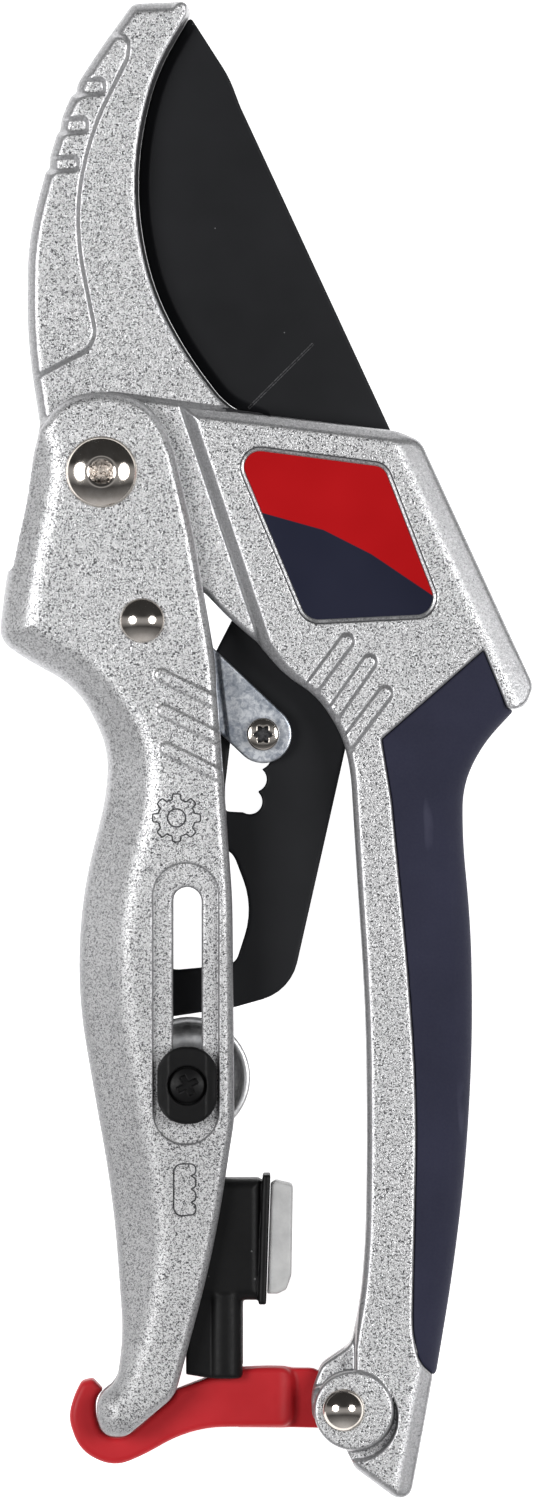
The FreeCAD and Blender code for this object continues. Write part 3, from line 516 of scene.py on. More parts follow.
def mottled_metal(
    name, scale, dark, pale, rough, strength, depth, stops=(0.3, 0.7), relief=None, **settings
):
    """Metal whose colour, roughness and relief follow one noise, or relief another of that scale."""
    mat, tree, shader, coords = new_material(name)
    cloud = noise(tree, coords, scale, 3.0, 0.6)
    colour = ramp(tree, cloud, list(zip(stops, (dark, pale))))
    settings.setdefault("metallic", 1.0)
    set_shader(shader, tree, colour, roughness=span(tree, cloud, 0.3, 0.7, *rough), **settings)
    bump(tree, shader, noise(tree, coords, relief, 2.0) if relief else cloud, strength, depth)
    return mat


def soft_grip():
    """Matte navy rubber."""
    mat, tree, shader, coords = new_material("soft_grip")
    fine = noise(tree, coords, 2800.0, 3.0, 0.6)
    cloud = noise(tree, coords, 70.0, 3.0, 0.6)
    body = ramp(tree, cloud, [(0.3, (0.023, 0.024, 0.048)), (0.7, (0.031, 0.032, 0.062))])
    drawn_out = add(tree, "ShaderNodeMapping", {0: coords, 3: (1.0, 0.25, 1.0)}).outputs[0]
    scuffs = noise(tree, drawn_out, 240.0, 2.0)
    worn = span(tree, scuffs, 0.68, 0.74)
    colour = mix(tree, maths(tree, "MULTIPLY", worn, 0.35), body, (0.09, 0.09, 0.14))
    set_shader(shader, tree, colour, roughness=span(tree, fine, 0.3, 0.7, 0.62, 0.78), specular=0.25)
    bump(tree, shader, fine, 0.35, 0.00004)
    return mat


def red_coat():
    """Satin red powder coat with faint orange peel."""
    mat, tree, shader, coords = new_material("red_coat")
    peel = noise(tree, coords, 700.0, 2.0, 0.5)
    cloud = noise(tree, coords, 90.0, 3.0, 0.6)
    colour = ramp(tree, cloud, [(0.3, (0.53, 0.016, 0.022)), (0.7, (0.62, 0.024, 0.032))])
    set_shader(shader, tree, colour, roughness=span(tree, peel, 0.3, 0.7, 0.40, 0.50), specular=0.25)
    bump(tree, shader, peel, 0.22, 0.00006)
    return mat


def moulded_black(name="moulded_black", level=0.006, rough=(0.38, 0.5)):
    """Black plastic with moulded texture and dust specks."""
    mat, tree, shader, coords = new_material(name)
    fine = noise(tree, coords, 1800.0, 3.0, 0.6)
    cloud = noise(tree, coords, 120.0, 3.0, 0.6)
    dust = specks(tree, coords, 520.0, (0.06, 0.10), 230.0, (0.60, 0.64))
    pale = level * 1.5
    body = ramp(tree, cloud, [(0.3, (level, level, level * 1.05)), (0.7, (pale, pale, level * 1.55))])
    colour = mix(tree, dust, body, (0.14, 0.14, 0.14))
    set_shader(shader, tree, colour, roughness=span(tree, fine, 0.3, 0.7, *rough), specular=0.18)
    bump(tree, shader, fine, 0.3, 0.00004)
    return mat


def milky_pad():
    """Soft milky plastic."""
    mat, tree, shader, coords = new_material("milky_pad")
    cloud = noise(tree, coords, 330.0, 4.0, 0.6)
    fine = noise(tree, coords, 1600.0, 3.0, 0.6)
    colour = ramp(tree, cloud, [(0.3, (0.52, 0.52, 0.52)), (0.7, (0.70, 0.70, 0.69))])
    set_shader(shader, tree, colour, roughness=span(tree, fine, 0.3, 0.7, 0.4, 0.55))
    shader.inputs["Subsurface Weight"].default_value = 0.3
    shader.inputs["Subsurface Radius"].default_value = (0.002, 0.002, 0.002)
    shader.inputs["Subsurface Scale"].default_value = 1.0
    bump(tree, shader, fine, 0.3, 0.00006)
    return mat


def printed_label():
    """Red over navy, split by a bent diagonal."""
    mat, tree, shader, coords = new_material("printed_label")
    split = add(tree, "ShaderNodeSeparateXYZ", {0: coords})
    x, y = split.outputs[0], split.outputs[1]
    edge = None
    for bend_x, fall in ((-2.2, 0.28), (7.8, 0.227), (14.5, 0.168)):
        past = maths(tree, "SUBTRACT", x, ORIGIN.x + bend_x * MM)
        if edge is not None:
            past = maths(tree, "MAXIMUM", past, 0.0)
        drop = maths(tree, "MULTIPLY", past, -fall)
        edge = maths(tree, "ADD", drop, ORIGIN.y + 33.6 * MM if edge is None else edge)
    side = span(tree, maths(tree, "SUBTRACT", y, edge), -0.00006, 0.00006)
    glow = noise(tree, coords, 60.0, 2.0)
    red = ramp(tree, glow, [(0.3, (0.46, 0.002, 0.004)), (0.7, (0.56, 0.004, 0.007))])
    navy = ramp(tree, glow, [(0.3, (0.014, 0.016, 0.034)), (0.7, (0.020, 0.022, 0.044))])
    roughness = span(tree, glow, 0.3, 0.7, 0.30, 0.40)
    set_shader(shader, tree, mix(tree, side, navy, red), roughness=roughness, specular=0.15)
    bump(tree, shader, noise(tree, coords, 900.0, 2.0), 0.08, 0.00003)
    return mat


PAINT = sparkle_paint("frame_paint", 0.92, 0.985)
# the handle's copy is rougher towards its foot and has painted shade there
HANDLE_PAINT = sparkle_paint("handle_paint", 0.64, 0.965, 0.2)
STEEL = coated_steel()
ZINC = zinc_plate()
# a paler copy of the zinc plating for the selector disc: partly its brighter plating, partly painted light
# on the disc
PALE_LIT_ZINC = zinc_plate("pale_zinc_painted_light", (0.80, 0.81, 0.82), (0.97, 0.97, 0.97), (0.35, 0.5))
# polished nickel-chrome with faint handling marks
NICKEL = mottled_metal(
    "bright_nickel", 500.0, (0.66, 0.60, 0.54), (0.78, 0.73, 0.67), (0.07, 0.14), 0.12, 0.00002,
    relief=1500.0
)
# the rough floor of the main rivet's dimple
PITTED = mottled_metal(
    "pitted_nickel", 2200.0, (0.20, 0.16, 0.13), (0.72, 0.64, 0.57), (0.2, 0.4), 0.9, 0.00018, (0.35, 0.6)
)
RUBBER = soft_grip()
RED = red_coat()
BLACK = moulded_black()
MILKY = milky_pad()
PRINT = printed_label()
SPRING = mottled_metal(
    "spring_steel", 600.0, (0.16, 0.15, 0.14), (0.28, 0.27, 0.26), (0.25, 0.45), 0.2, 0.00003
)
BRONZE = mottled_metal(
    "sintered_bronze", 2600.0, (0.24, 0.15, 0.07), (0.60, 0.42, 0.22), (0.35, 0.6), 0.4, 0.00005, (0.35, 0.6)
)
# painted shade: a dark material on the anvil's landing, in the pin screw's socket and on the fine marks
SHADED = mottled_metal(
    "painted_shade", 2400.0, (0.015, 0.015, 0.017), (0.10, 0.10, 0.105), (0.5, 0.7), 0.5, 0.00006,
    (0.35, 0.65), metallic=0.0, specular=0.3
)


def finish_piece(obj, material, body, slot, *nodes):
    """Material, body and the CAD nodes the piece stands for; the slot argument is not used."""
    obj.data.materials.clear()
    obj.data.materials.append(material)
    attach(obj, body)
    if nodes:
        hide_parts(*nodes)
    return obj


def shade_faces(obj, chosen):
    """Painted shade: the dark second material on the faces where chosen(x, y, z, nz) holds, in drawing
    millimetres.
    """
    data = obj.data
    data.materials.append(SHADED)
    centres = np.empty(len(data.polygons) * 3, dtype=np.float32)
    normals = np.empty(len(data.polygons) * 3, dtype=np.float32)
    data.polygons.foreach_get("center", centres)
    data.polygons.foreach_get("normal", normals)
    places = (centres.reshape(-1, 3) - np.array(ORIGIN)) / MM
    mask = chosen(places[:, 0], places[:, 1], places[:, 2], normals.reshape(-1, 3)[:, 2])
    data.polygons.foreach_set("material_index", mask.astype(np.int32))
    data.update()


# ---------------------------------------------------------------- castings
# centre and half size of each pocket in the jaw's rib
JAW_POCKETS = [((-25.1, 92.8), (2.1, 0.95)), ((-27.4, 87.4), (2.0, 0.9)), ((-28.9, 82.0), (2.2, 0.85))]
# ends of the raised bars on the head and on the moving handle
HEAD_BARS = [((11.0, 15.2), (5.6, 8.0)), ((14.2, 12.3), (8.4, 4.0)), ((16.4, 7.9), (10.4, 0.0))]
HANDLE_BARS = [((-15.0, 10.5), (-6.0, 6.0)), ((-14.6, 5.5), (-5.6, 1.0)), ((-14.2, 0.2), (-5.2, -4.3))]


def jaw_body(f, anvil):
    """The anvil jaw: its raised rib, the pockets in the rib, and the landing under the blade."""
    jaw = f.polygon(JAW)
    rib = f.polygon(JAW_RIB)
    for centre, half in JAW_POCKETS:
        pocket = f.box((centre[0] - 1.5, centre[1]), (half[0] + 1.5, half[1]), 0.6, 3.0)
        rib = np.maximum(rib, -pocket)
        jaw = smooth_max(jaw, -f.box((centre[0] - 5.0, centre[1]), (3.2, half[1]), 0.4, 3.0), 0.4)
    jaw_top = JAW_HALF + (JAW_RIB_HALF - JAW_HALF) * blend_range(-rib, -0.25, 0.45)
    body = f.bevelled(jaw, jaw_top, 0.1 + 1.1 * blend_range(-anvil, 1.2, 2.6), 0.35)
    # the landing leans back above and below the blade and has a fine lip under its edge
    flank = anvil[:, :, None] + 0.11 * np.maximum(np.abs(f.z) - 1.6, 0) - 0.15 * blend_range(-f.z, 0.6, 0.9)
    return smooth_max(body, smooth_max(flank, f.slope(anvil, JAW_HALF, 0.9, 20.0), 0.12), 0.1)


def head_plate(f):
    """The head and the right handle, with raised bars and steeper outer edges."""
    # raised bars run off the head's lower left edge
    top = np.full(f.x.shape, HEAD_HALF, dtype=np.float32)
    for start, end in HEAD_BARS:
        bar = f.capsule(start, end, 0.95)
        top += 0.5 * blend_range(-bar, -0.30, 0.25)
    bevel = 1.5 - 0.7 * blend_range(-f.y, -16.0, -8.0)
    bevel = 0.1 + (bevel - 0.1) * blend_range(f.polygon(GRIP), 0.5, 1.5)
    plate = f.bevelled(f.polygon(HEAD), top, bevel, 0.3)
    plate = smooth_max(plate, f.slope(-f.line((37.2, 9.0), (21.4, 43.3)), top, 3.5, 23.0), 0.3)
    return smooth_max(plate, f.slope(-f.line((19.7, -106.1), (23.1, -87.6)), HEAD_HALF, 2.4, 25.0), 0.3)


def tail_boss(f, body):
    """Round boss at the tail, a step cut in the front beside it and a crescent groove below it."""
    lobe = np.maximum(f.polygon(LOBE)[:, :, None], 4.5 - f.z)
    body = smooth_max(body, -lobe, 0.8)
    boss = f.rounded(f.circle(TAIL_BOSS, 5.6), BOSS_HALF, 0.5)
    below_boss = (TAIL_BOSS[0] + 0.15, TAIL_BOSS[1] - 0.95)
    crescent = np.maximum(f.circle(below_boss, 6.05), -f.circle(TAIL_BOSS, 5.65))
    groove = np.maximum(crescent[:, :, None], 5.6 - np.abs(f.z))
    return smooth_max(np.minimum(body, boss), -groove, 0.3)


def frame_cuts(f, body):
    """Body with the label's recess and ledge, the slots for blade and latch, and the bores."""
    label = f.polygon(LABEL)[:, :, None]
    body = smooth_max(body, -np.maximum(label, HEAD_HALF - 0.5 - f.z), 0.15)
    body = smooth_max(body, -np.maximum(label - 0.55, HEAD_HALF - 0.22 - f.z), 0.12)
    slot = np.maximum(f.polygon(BLADE_SLOT)[:, :, None], np.abs(f.z) - BLADE_SLOT_HALF)
    body = smooth_max(body, -slot, 0.3)
    slot = np.maximum(f.polygon(LATCH_SLOT)[:, :, None], np.abs(f.z) - LATCH_SLOT_HALF)
    body = smooth_max(body, -slot, 0.3)
    body = f.drilled(body, MAIN_PIVOT, 4.2)
    # ring pocket for the opening spring, and the seat of the blade's bolt
    pocket = (np.abs(f.circle(MAIN_PIVOT, 6.45)) - 1.15)[:, :, None]
    body = np.maximum(body, -np.maximum(pocket, 3.3 - f.z))
    body = f.drilled(body, BLADE_PIVOT, 3.0)
    body = np.maximum(body, -np.maximum(f.circle(BLADE_PIVOT, 5.0)[:, :, None], 6.0 - f.z))
    return f.drilled(body, LATCH_PIVOT, 1.8)


def frame_casting():
    """Fixed casting: jaw, head, right handle, tail boss and the tongue inside the grip."""
    f = Field((-36.0, -107.0, -9.6), (38.4, 106.0, 9.6), 0.24)
    anvil = f.polygon(ANVIL)
    region = np.minimum(f.polygon(REGION), f.circle(MAIN_PIVOT, 9.3))
    body = smooth_min(jaw_body(f, anvil), f.bevelled(region, REGION_HALF, 0.5, 0.3), 0.35)
    body = smooth_min(body, head_plate(f), 0.4)
    body = tail_boss(f, body)
    body = np.minimum(body, f.rounded(f.polygon(TONGUE), TONGUE_HALF, 0.5))
    obj = f.mesh("cast_frame", frame_cuts(f, body))
    finish_piece(obj, PAINT, "frame", "cast_silver", "anvil_frame")

    def landing_in_painted_shade(x, y, z, nz):
        i = np.clip(((x - f.axes[0][0]) / f.pitch).astype(int), 0, len(f.axes[0]) - 1)
        j = np.clip(((y - f.axes[1][0]) / f.pitch).astype(int), 0, len(f.axes[1]) - 1)
        return (np.abs(anvil[i, j]) < 1.2) & (np.abs(nz) < 0.45) & (y > 46.0) & (y < 102.0)

    # painted shade on the landing's steep flank beside the blade
    shade_faces(obj, landing_in_painted_shade)
    return obj


def offset_loop(corners, width):
    """A clockwise outline grown by that width."""
    loop = round_corners(corners)
    along = np.roll(loop, -1, axis=0) - np.roll(loop, 1, axis=0)
    along /= np.linalg.norm(along, axis=1)[:, None]
    return loop + width * np.stack([-along[:, 1], along[:, 0]], axis=1)


def gear_loops(centre, radius, hub, teeth):
    """Outline and hub circle of a plain gear wheel symbol."""
    angles = np.linspace(0, 2 * math.pi, 193)[:-1]
    reach = radius - 0.38 + 0.38 * np.tanh(4.0 * np.cos(teeth * angles))
    unit = np.stack([np.cos(angles), np.sin(angles)], axis=1)
    return [np.array(centre) + unit * reach[:, None], np.array(centre) + unit[::4] * hub]


def rack_loop(centre):
    """Outline of a plain notched rack symbol."""
    x, y = centre
    corners = [(x - 1.5, y - 3.7, 1.2), (x - 1.5, y + 3.7, 1.2)]
    for k in range(4):
        step = y + 3.7 - 1.85 * k
        corners += [(x + 1.6, step, 0.75), (x + 1.6, step - 1.5, 0.6), (x + 0.45, step - 1.65, 0.1)]
    return [round_corners(corners)]


def bead(name, loops, wall, body="handle", half_width=0.1):
    """Fine ridge that follows closed loops over the face of a casting, in the dark painted-shade material.
    """
    data = wall.data
    tree = BVHTree.FromPolygons([v.co for v in data.vertices], [p.vertices for p in data.polygons])
    bm = bmesh.new()
    for loop in loops:
        ahead = np.roll(loop, -1, axis=0) - np.roll(loop, 1, axis=0)
        ahead /= np.linalg.norm(ahead, axis=1)[:, None]
        rows = []
        for (x, y), (tx, ty) in zip(loop, ahead):
            above = ORIGIN + Vector((x, y, 30.0)) * MM
            level = (tree.ray_cast(above, Vector((0, 0, -1)))[0] - ORIGIN).z / MM
            row = []
            for across, height in ((-1.5, -0.3), (1.5, -0.3), (1.0, 0.05), (-1.0, 0.05)):
                place = Vector((x - ty * half_width * across, y + tx * half_width * across, level + height))
                row.append(bm.verts.new(ORIGIN + place * MM))
            rows.append(row)
        for k, row in enumerate(rows):
            other = rows[(k + 1) % len(rows)]
            for m in range(4):
                bm.faces.new((row[m], row[(m + 1) % 4], other[(m + 1) % 4], other[m]))
    bmesh.ops.recalc_face_normals(bm, faces=bm.faces)
    mesh = bpy.data.meshes.new(name)
    bm.to_mesh(mesh)
    bm.free()
    return finish_piece(linked_object(name, mesh), SHADED, body, "dark_steel")


def handle_casting():
    """Moving handle: a channel open towards the other handle, with the slider's slot and a forked toe."""
    f = Field((-39.0, -98.0, -11.0), (-2.5, 51.5, 11.0), 0.23)
    outline = f.polygon(HANDLE)
    palm = [(70.0, 120.0, 0), (70.0, -97.6, 0), (-20.2, -97.6, 0)] + HANDLE[12:]
    left = f.polygon(palm + [(-32.2, 60.0, 0), (-30.0, 120.0, 0)])
    # the palm side's facet and round grow at the top of the ear and at the waist, and shrink at the toe
    ear, waist, toe = (blend_range(-f.y, *reach) for reach in ((-50.0, -39.0), (-14.0, 6.0), (66.0, 92.0)))
    facet = 1.2 + 3.3 * ear + 2.4 * waist - 4.4 * toe
    radius = 1.2 + 2.6 * ear + 0.8 * waist - 2.4 * toe
    top = np.full(f.x.shape, HANDLE_HALF, dtype=np.float32)
    for start, end in HANDLE_BARS:
        top += 0.35 * blend_range(-f.capsule(start, end, 0.85), -0.25, 0.25)
    body = smooth_max(f.rounded(left, top, radius), f.slope(left, top, facet, 38.0), 1.2)
    body = smooth_max(body, f.bevelled(outline, top, 1.1, 0.35), 0.4)
    cavity = f.rounded(f.polygon(CAVITY), CAVITY_HALF, 1.2)
    body = smooth_max(body, -cavity, 0.3)
    fork = np.maximum(f.polygon(TOE_FORK)[:, :, None], np.abs(f.z) - 4.6)
    body = smooth_max(body, -fork, 0.3)
    track = f.capsule((-11.5, -50.6), (-11.5, -20.4), 4.6)[:, :, None]
    floor = HANDLE_HALF - 1.0
    body = smooth_max(body, -np.maximum(track, floor - f.z), 0.2)
    slot = f.capsule((-11.3, -49.8), (-11.3, -21.2), 2.0)[:, :, None]
    flare = slot - np.clip(f.z - floor + 0.3, 0, 0.3)
    body = smooth_max(body, -np.where(f.z > 0, flare, slot), 0.2)
    body = f.drilled(body, MAIN_PIVOT, 3.2)
    body = f.drilled(body, LINK_PIVOT, 1.9)
    obj = f.mesh("cast_handle", body)
    return finish_piece(obj, HANDLE_PAINT, "handle", "cast_silver", "moving_handle")


def blade_plate():
    """Blade and tang in one plate, ground towards the anvil, with four notches for the link's pin."""
    f = Field((-22.0, -39.0, -2.4), (20.5, 104.5, 2.4), 0.25)
    edge = BLADE_CLEARANCE - f.polygon(JAW)            # falls away from the anvil
    flat = np.maximum(np.maximum(f.polygon(BLADE), edge), f.y - BLADE_TIP)
    for k in range(4):
        notch = (PIN_CENTRE[0] - NOTCH_STEP[0] * k, PIN_CENTRE[1] - NOTCH_STEP[1] * k)
        flat = np.maximum(flat, -f.circle(notch, 1.75))
    flat = np.maximum(flat, -f.polygon(PAWL_WINDOW))
    flat = np.maximum(flat, -f.polygon(DISC_WINDOW))
    flat = np.maximum(flat, -f.circle(BLADE_PIVOT, 3.05))
    free = blend_range(f.y, 44.0, 48.0)
    away = np.clip(-edge, 0, 3.0)
    ground = BLADE_HALF - (1.15 * np.clip(1 - away / 1.5, 0, 1)) * free
    body = f.bevelled(flat, ground, 0.15, 0.12)
    obj = f.mesh("blade_plate", body)
    return finish_piece(obj, STEEL, "blade", "black_steel", "blade")


def grip_skin():
    f = Field((14.5, -89.5, -9.6), (36.0, 15.5, 9.6), 0.3)
    flat = f.polygon(GRIP)
    flat = np.maximum(flat, 0.04 - f.polygon(HEAD))
    above = [(-20.0, 30.0, 0), (45.0, 30.0, 0), (34.4, 5.3, 0)]
    below = [(23.6, -87.9, 0), (22.0, -100.0, 0), (-20.0, -100.0, 0)]
    palm = f.polygon(above + GRIP[2:9] + below)
    body = smooth_max(f.rounded(palm, GRIP_HALF, 3.6), f.rounded(flat, GRIP_HALF, 0.45), 0.4)
    body = np.maximum(body, -f.rounded(f.polygon(TONGUE), TONGUE_HALF, 0.5))
    obj = f.mesh("grip_skin", body)
    return finish_piece(obj, RUBBER, "frame", "grip_rubber", "grip")


def latch_hook():
    f = Field((-29.5, -101.5, -5.0), (15.5, -85.5, 5.0), 0.2)
    arm = np.maximum(f.polygon(LATCH), 0.08 - f.polygon(HANDLE))
    step = f.slope(f.line((3.9, -80.0), (3.9, -99.0)), LATCH_HALF, 1.2, 50.0)
    thick = smooth_max(f.rounded(arm, LATCH_HALF, 0.9), step, 1.2)
    root = [
        (-4.0, -94.9, 0), (8.6, -95.2, 0), (9.6, -94.4, 0),
        (9.6, -88.6, 0), (6.4, -86.8, 1.5), (-4.0, -86.7, 0),
    ]
    root = np.minimum(f.polygon(root), f.circle(LATCH_PIVOT, 3.4))
    root = np.maximum(root, 0.35 - f.polygon(HANDLE))
    body = smooth_min(thick, f.rounded(root, LATCH_ROOT_HALF, 0.4), 0.6)
    body = f.drilled(body, LATCH_PIVOT, 1.85)
    obj = f.mesh("latch_hook", body)
    return finish_piece(obj, RED, "latch", "red_paint", "latch")


# ---------------------------------------------------------------- turned parts
def lathe(name, profile, centre, steps=96):
    """Closed turned solid; profile is (radius, height) from the bottom to the top."""
    bm = bmesh.new()
    rings = []
    for radius, height in profile:
        if radius < 1e-6:
            rings.append([bm.verts.new(ORIGIN + Vector((centre[0], centre[1], height)) * MM)])
            continue
        ring = []
        for k in range(steps):
            a = 2 * math.pi * k / steps
            place = Vector((centre[0] + radius * math.cos(a), centre[1] + radius * math.sin(a), height))
            ring.append(bm.verts.new(ORIGIN + place * MM))
        rings.append(ring)
    for low, high in zip(rings, rings[1:]):
        for k in range(steps):
            n = (k + 1) % steps
            corners = []
            for vert in (low[k % len(low)], low[n % len(low)], high[n % len(high)], high[k % len(high)]):
                if vert not in corners:
                    corners.append(vert)
            if len(corners) > 2:
                bm.faces.new(corners)
    bmesh.ops.recalc_face_normals(bm, faces=bm.faces)
    data = bpy.data.meshes.new(name)
    bm.to_mesh(data)
    bm.free()
    data.shade_smooth()
    return linked_object(name, data)


def dome_profile(radius, height, base, lip=0.35, steps=14):
    """Rim, short wall and spherical cap, ending on the axis."""
    ball = (radius * radius + (height - lip) ** 2) / (2 * (height - lip))
    points = [(radius - 0.1, base), (radius, base + 0.1)]
    limit = math.asin(min(1.0, radius / ball))
    for k in range(steps + 1):
        a = limit * (1 - k / steps)
        points.append((ball * math.sin(a), base + lip + ball * math.cos(a) - ball * math.cos(limit)))
    return points


def main_rivet():
    """Low dome with a dimple; its slope grows steadily and falls off fast at the rim."""
    rim, steps, half = 5.0, 40, HANDLE_HALF
    points = [(0.0, -half), (3.2, -half), (3.2, half), (rim - 0.1, half), (rim, half + 0.1)]
    radii = np.linspace(rim, 0.0, steps + 1)
    slopes = np.radians(26.0 * radii / rim + 30.0 * (radii / rim) ** 6)
    rise = np.concatenate([[0.0], np.cumsum(np.tan((slopes[1:] + slopes[:-1]) / 2) * rim / steps)])
    for radius, height in zip(radii, half + 0.15 + rise):
        dip = 0.75 * (1 - float(blend_range(np.array(radius), 0.7, 2.3)))
        points.append((float(radius), float(height) - dip))
    obj = lathe("main_rivet_head", points, MAIN_PIVOT)
    finish_piece(obj, NICKEL, "handle", "nickel", "main_rivet")
    obj.data.materials.append(PITTED)
    for face in obj.data.polygons:
        centre = face.center - ORIGIN
        reach = math.hypot(centre.x - MAIN_PIVOT[0] * MM, centre.y - MAIN_PIVOT[1] * MM)
        if reach < 1.7 * MM and centre.z > HANDLE_HALF * MM:
            face.material_index = 1


def plain_rivet(name, centre, shank, head, height, half, rear, body, node):
    """Round-headed rivet through a plate of that half-thickness, with a flat rear head."""
    points = [(0.0, rear), (head - 0.2, rear), (head, rear + 0.2)]
    points += [(head, -half), (shank, -half), (shank, half)]
    points += dome_profile(head, height, half)
    return finish_piece(lathe(name, points, centre), NICKEL, body, "nickel", node)


def link_cheek(name, side, node):
    """One cheek of the ratchet link, in front of the tang or, for a side of -1, behind it."""
    f = Field((-22.6, -2.8, LINK_INNER - 0.8), (4.4, 23.2, LINK_OUTER + 0.8), 0.16)
    bar = f.capsule(LINK_PIVOT, PIN_CENTRE, 4.06)
    across = f.line((-6.5, 12.1), (-4.9, -1.4))
    low = LINK_OUTER - 0.5 * blend_range(-across, 0.1, 0.6)
    # a rounded plate about the cheek's own mid-height
    middle = (LINK_INNER + low) / 2
    radius = 0.3
    side_gap = bar[:, :, None] + radius
    face_gap = np.abs(f.z - middle[:, :, None]) - ((low - LINK_INNER) / 2)[:, :, None] + radius
    inside = np.minimum(np.maximum(side_gap, face_gap), 0)
    body = inside + np.hypot(np.maximum(side_gap, 0), np.maximum(face_gap, 0)) - radius
    body = f.drilled(body, LINK_PIVOT, 1.95)
    body = f.drilled(body, PIN_CENTRE, 0.8)
    obj = f.mesh(name, body)
    if side < 0:
        for vert in obj.data.vertices:
            vert.co.z = 2 * ORIGIN.z - vert.co.z
        obj.data.flip_normals()
    return finish_piece(obj, ZINC, "link", "zinc", node)


def turned_field(f, centre, profile_top, radius, base, edge):
    """Distance to a turned head of that height."""
    flat = f.circle(centre, radius)[:, :, None]
    return smooth_max(smooth_max(flat, f.z - profile_top, edge), base - f.z, 0.05)


def pin_screw():
    f = Field((-3.4, -0.5, -5.0), (2.0, 4.9, 5.4), 0.09)
    reach = np.hypot(f.x - PIN_CENTRE[0], f.y - PIN_CENTRE[1])
    top = (LINK_OUTER + 1.5 - 0.14 * np.maximum(reach - 0.9, 0) ** 2)[:, :, None]
    head = turned_field(f, PIN_CENTRE, top, 2.3, LINK_OUTER, 0.35)
    angle = np.arctan2(f.y - PIN_CENTRE[1], f.x - PIN_CENTRE[0])
    star = reach - (1.08 + 0.22 * np.cos(6 * angle))
    socket = np.maximum(star[:, :, None], LINK_OUTER + 0.45 - f.z)
    head = smooth_max(head, -socket, 0.12)
    ends = np.maximum(-LINK_OUTER - 1.2 - f.z, f.z - LINK_OUTER - 0.1)
    shank = np.maximum(f.circle(PIN_CENTRE, 0.8)[:, :, None], ends)
    obj = f.mesh("pin_screw", np.minimum(head, shank))
    finish_piece(obj, NICKEL, "link", "nickel", "link_screw")

    def socket_in_painted_shade(x, y, z, nz):
        return (np.hypot(x - PIN_CENTRE[0], y - PIN_CENTRE[1]) < 1.36) & (z > 3.0) & (z < LINK_OUTER + 1.2)

    # painted shade on the floor and walls of the screw's socket
    shade_faces(obj, socket_in_painted_shade)


def selector_button():
    """Black oval button with a neck through the slot and a seat for its screw."""
    f = Field((-16.2, -53.2, 5.8), (-6.4, -40.6, BUTTON_TOP + 0.6), 0.12)
    cap = f.box(SLIDER_CENTRE, (4.2, 5.4), 3.9)
    flanks = np.abs(f.x - SLIDER_CENTRE[0]) - 4.2
    crown = BUTTON_TOP - 0.9 * blend_range(flanks, -1.8, -0.1)
    body = smooth_max(cap[:, :, None], f.z - crown[:, :, None], 0.5)
    body = np.maximum(body, BUTTON_BASE - f.z)
    neck = np.maximum(6.4 - f.z, f.z - BUTTON_BASE - 0.3)
    body = np.minimum(body, np.maximum(f.circle(SLIDER_CENTRE, 1.7)[:, :, None], neck))
    seat = np.maximum(f.circle(SLIDER_CENTRE, 2.75)[:, :, None], BUTTON_TOP - 1.2 - f.z)
    body = f.drilled(smooth_max(body, -seat, 0.15), SLIDER_CENTRE, 1.2)
    finish_piece(f.mesh("selector_button", body), BLACK, "selector", "black_plastic", "slider_button")


def selector_screw():
    """Cross-head screw down through the button, with a foot below the disc."""
    g = Field((-14.4, -50.0, 2.2), (-8.2, -43.8, BUTTON_TOP + 0.4), 0.09)
    reach = np.hypot(g.x - SLIDER_CENTRE[0], g.y - SLIDER_CENTRE[1])
    crown = (BUTTON_TOP - 0.15 - 0.09 * reach ** 2)[:, :, None]
    head = turned_field(g, SLIDER_CENTRE, crown, 2.5, BUTTON_TOP - 1.2, 0.2)
    arms = [g.box(SLIDER_CENTRE, half, 0.1, turn=28.0) for half in ((1.5, 0.4), (0.4, 1.5))]
    cross = np.minimum(*arms)
    head = smooth_max(head, -np.maximum(cross[:, :, None], BUTTON_TOP - 0.85 - g.z), 0.1)
    ends = np.maximum(2.6 - g.z, g.z - BUTTON_TOP + 1.1)
    shank = np.maximum(g.circle(SLIDER_CENTRE, 1.2)[:, :, None], ends)
    foot = np.maximum(g.circle(SLIDER_CENTRE, 2.2)[:, :, None], np.maximum(2.6 - g.z, g.z - 4.2))
    obj = g.mesh("selector_screw", np.minimum(np.minimum(head, shank), foot))
    finish_piece(obj, BLACK, "selector", "black_plastic", "slider_screw")


def selector_disc():
    """Turned zinc disc with a raised rim and a hub."""
    points = [
        (1.2, 4.2), (8.3, 4.2), (8.5, 4.4), (8.5, 5.35), (8.25, 5.6), (7.75, 5.6), (7.4, 5.35), (7.35, 5.2),
        (3.7, 5.2), (3.55, 5.6), (1.2, 5.6), (1.2, 4.2),
    ]
    disc = lathe("selector_disc", points, DISC_CENTRE, 128)
    finish_piece(disc, PALE_LIT_ZINC, "selector", "zinc", "slider_disc")


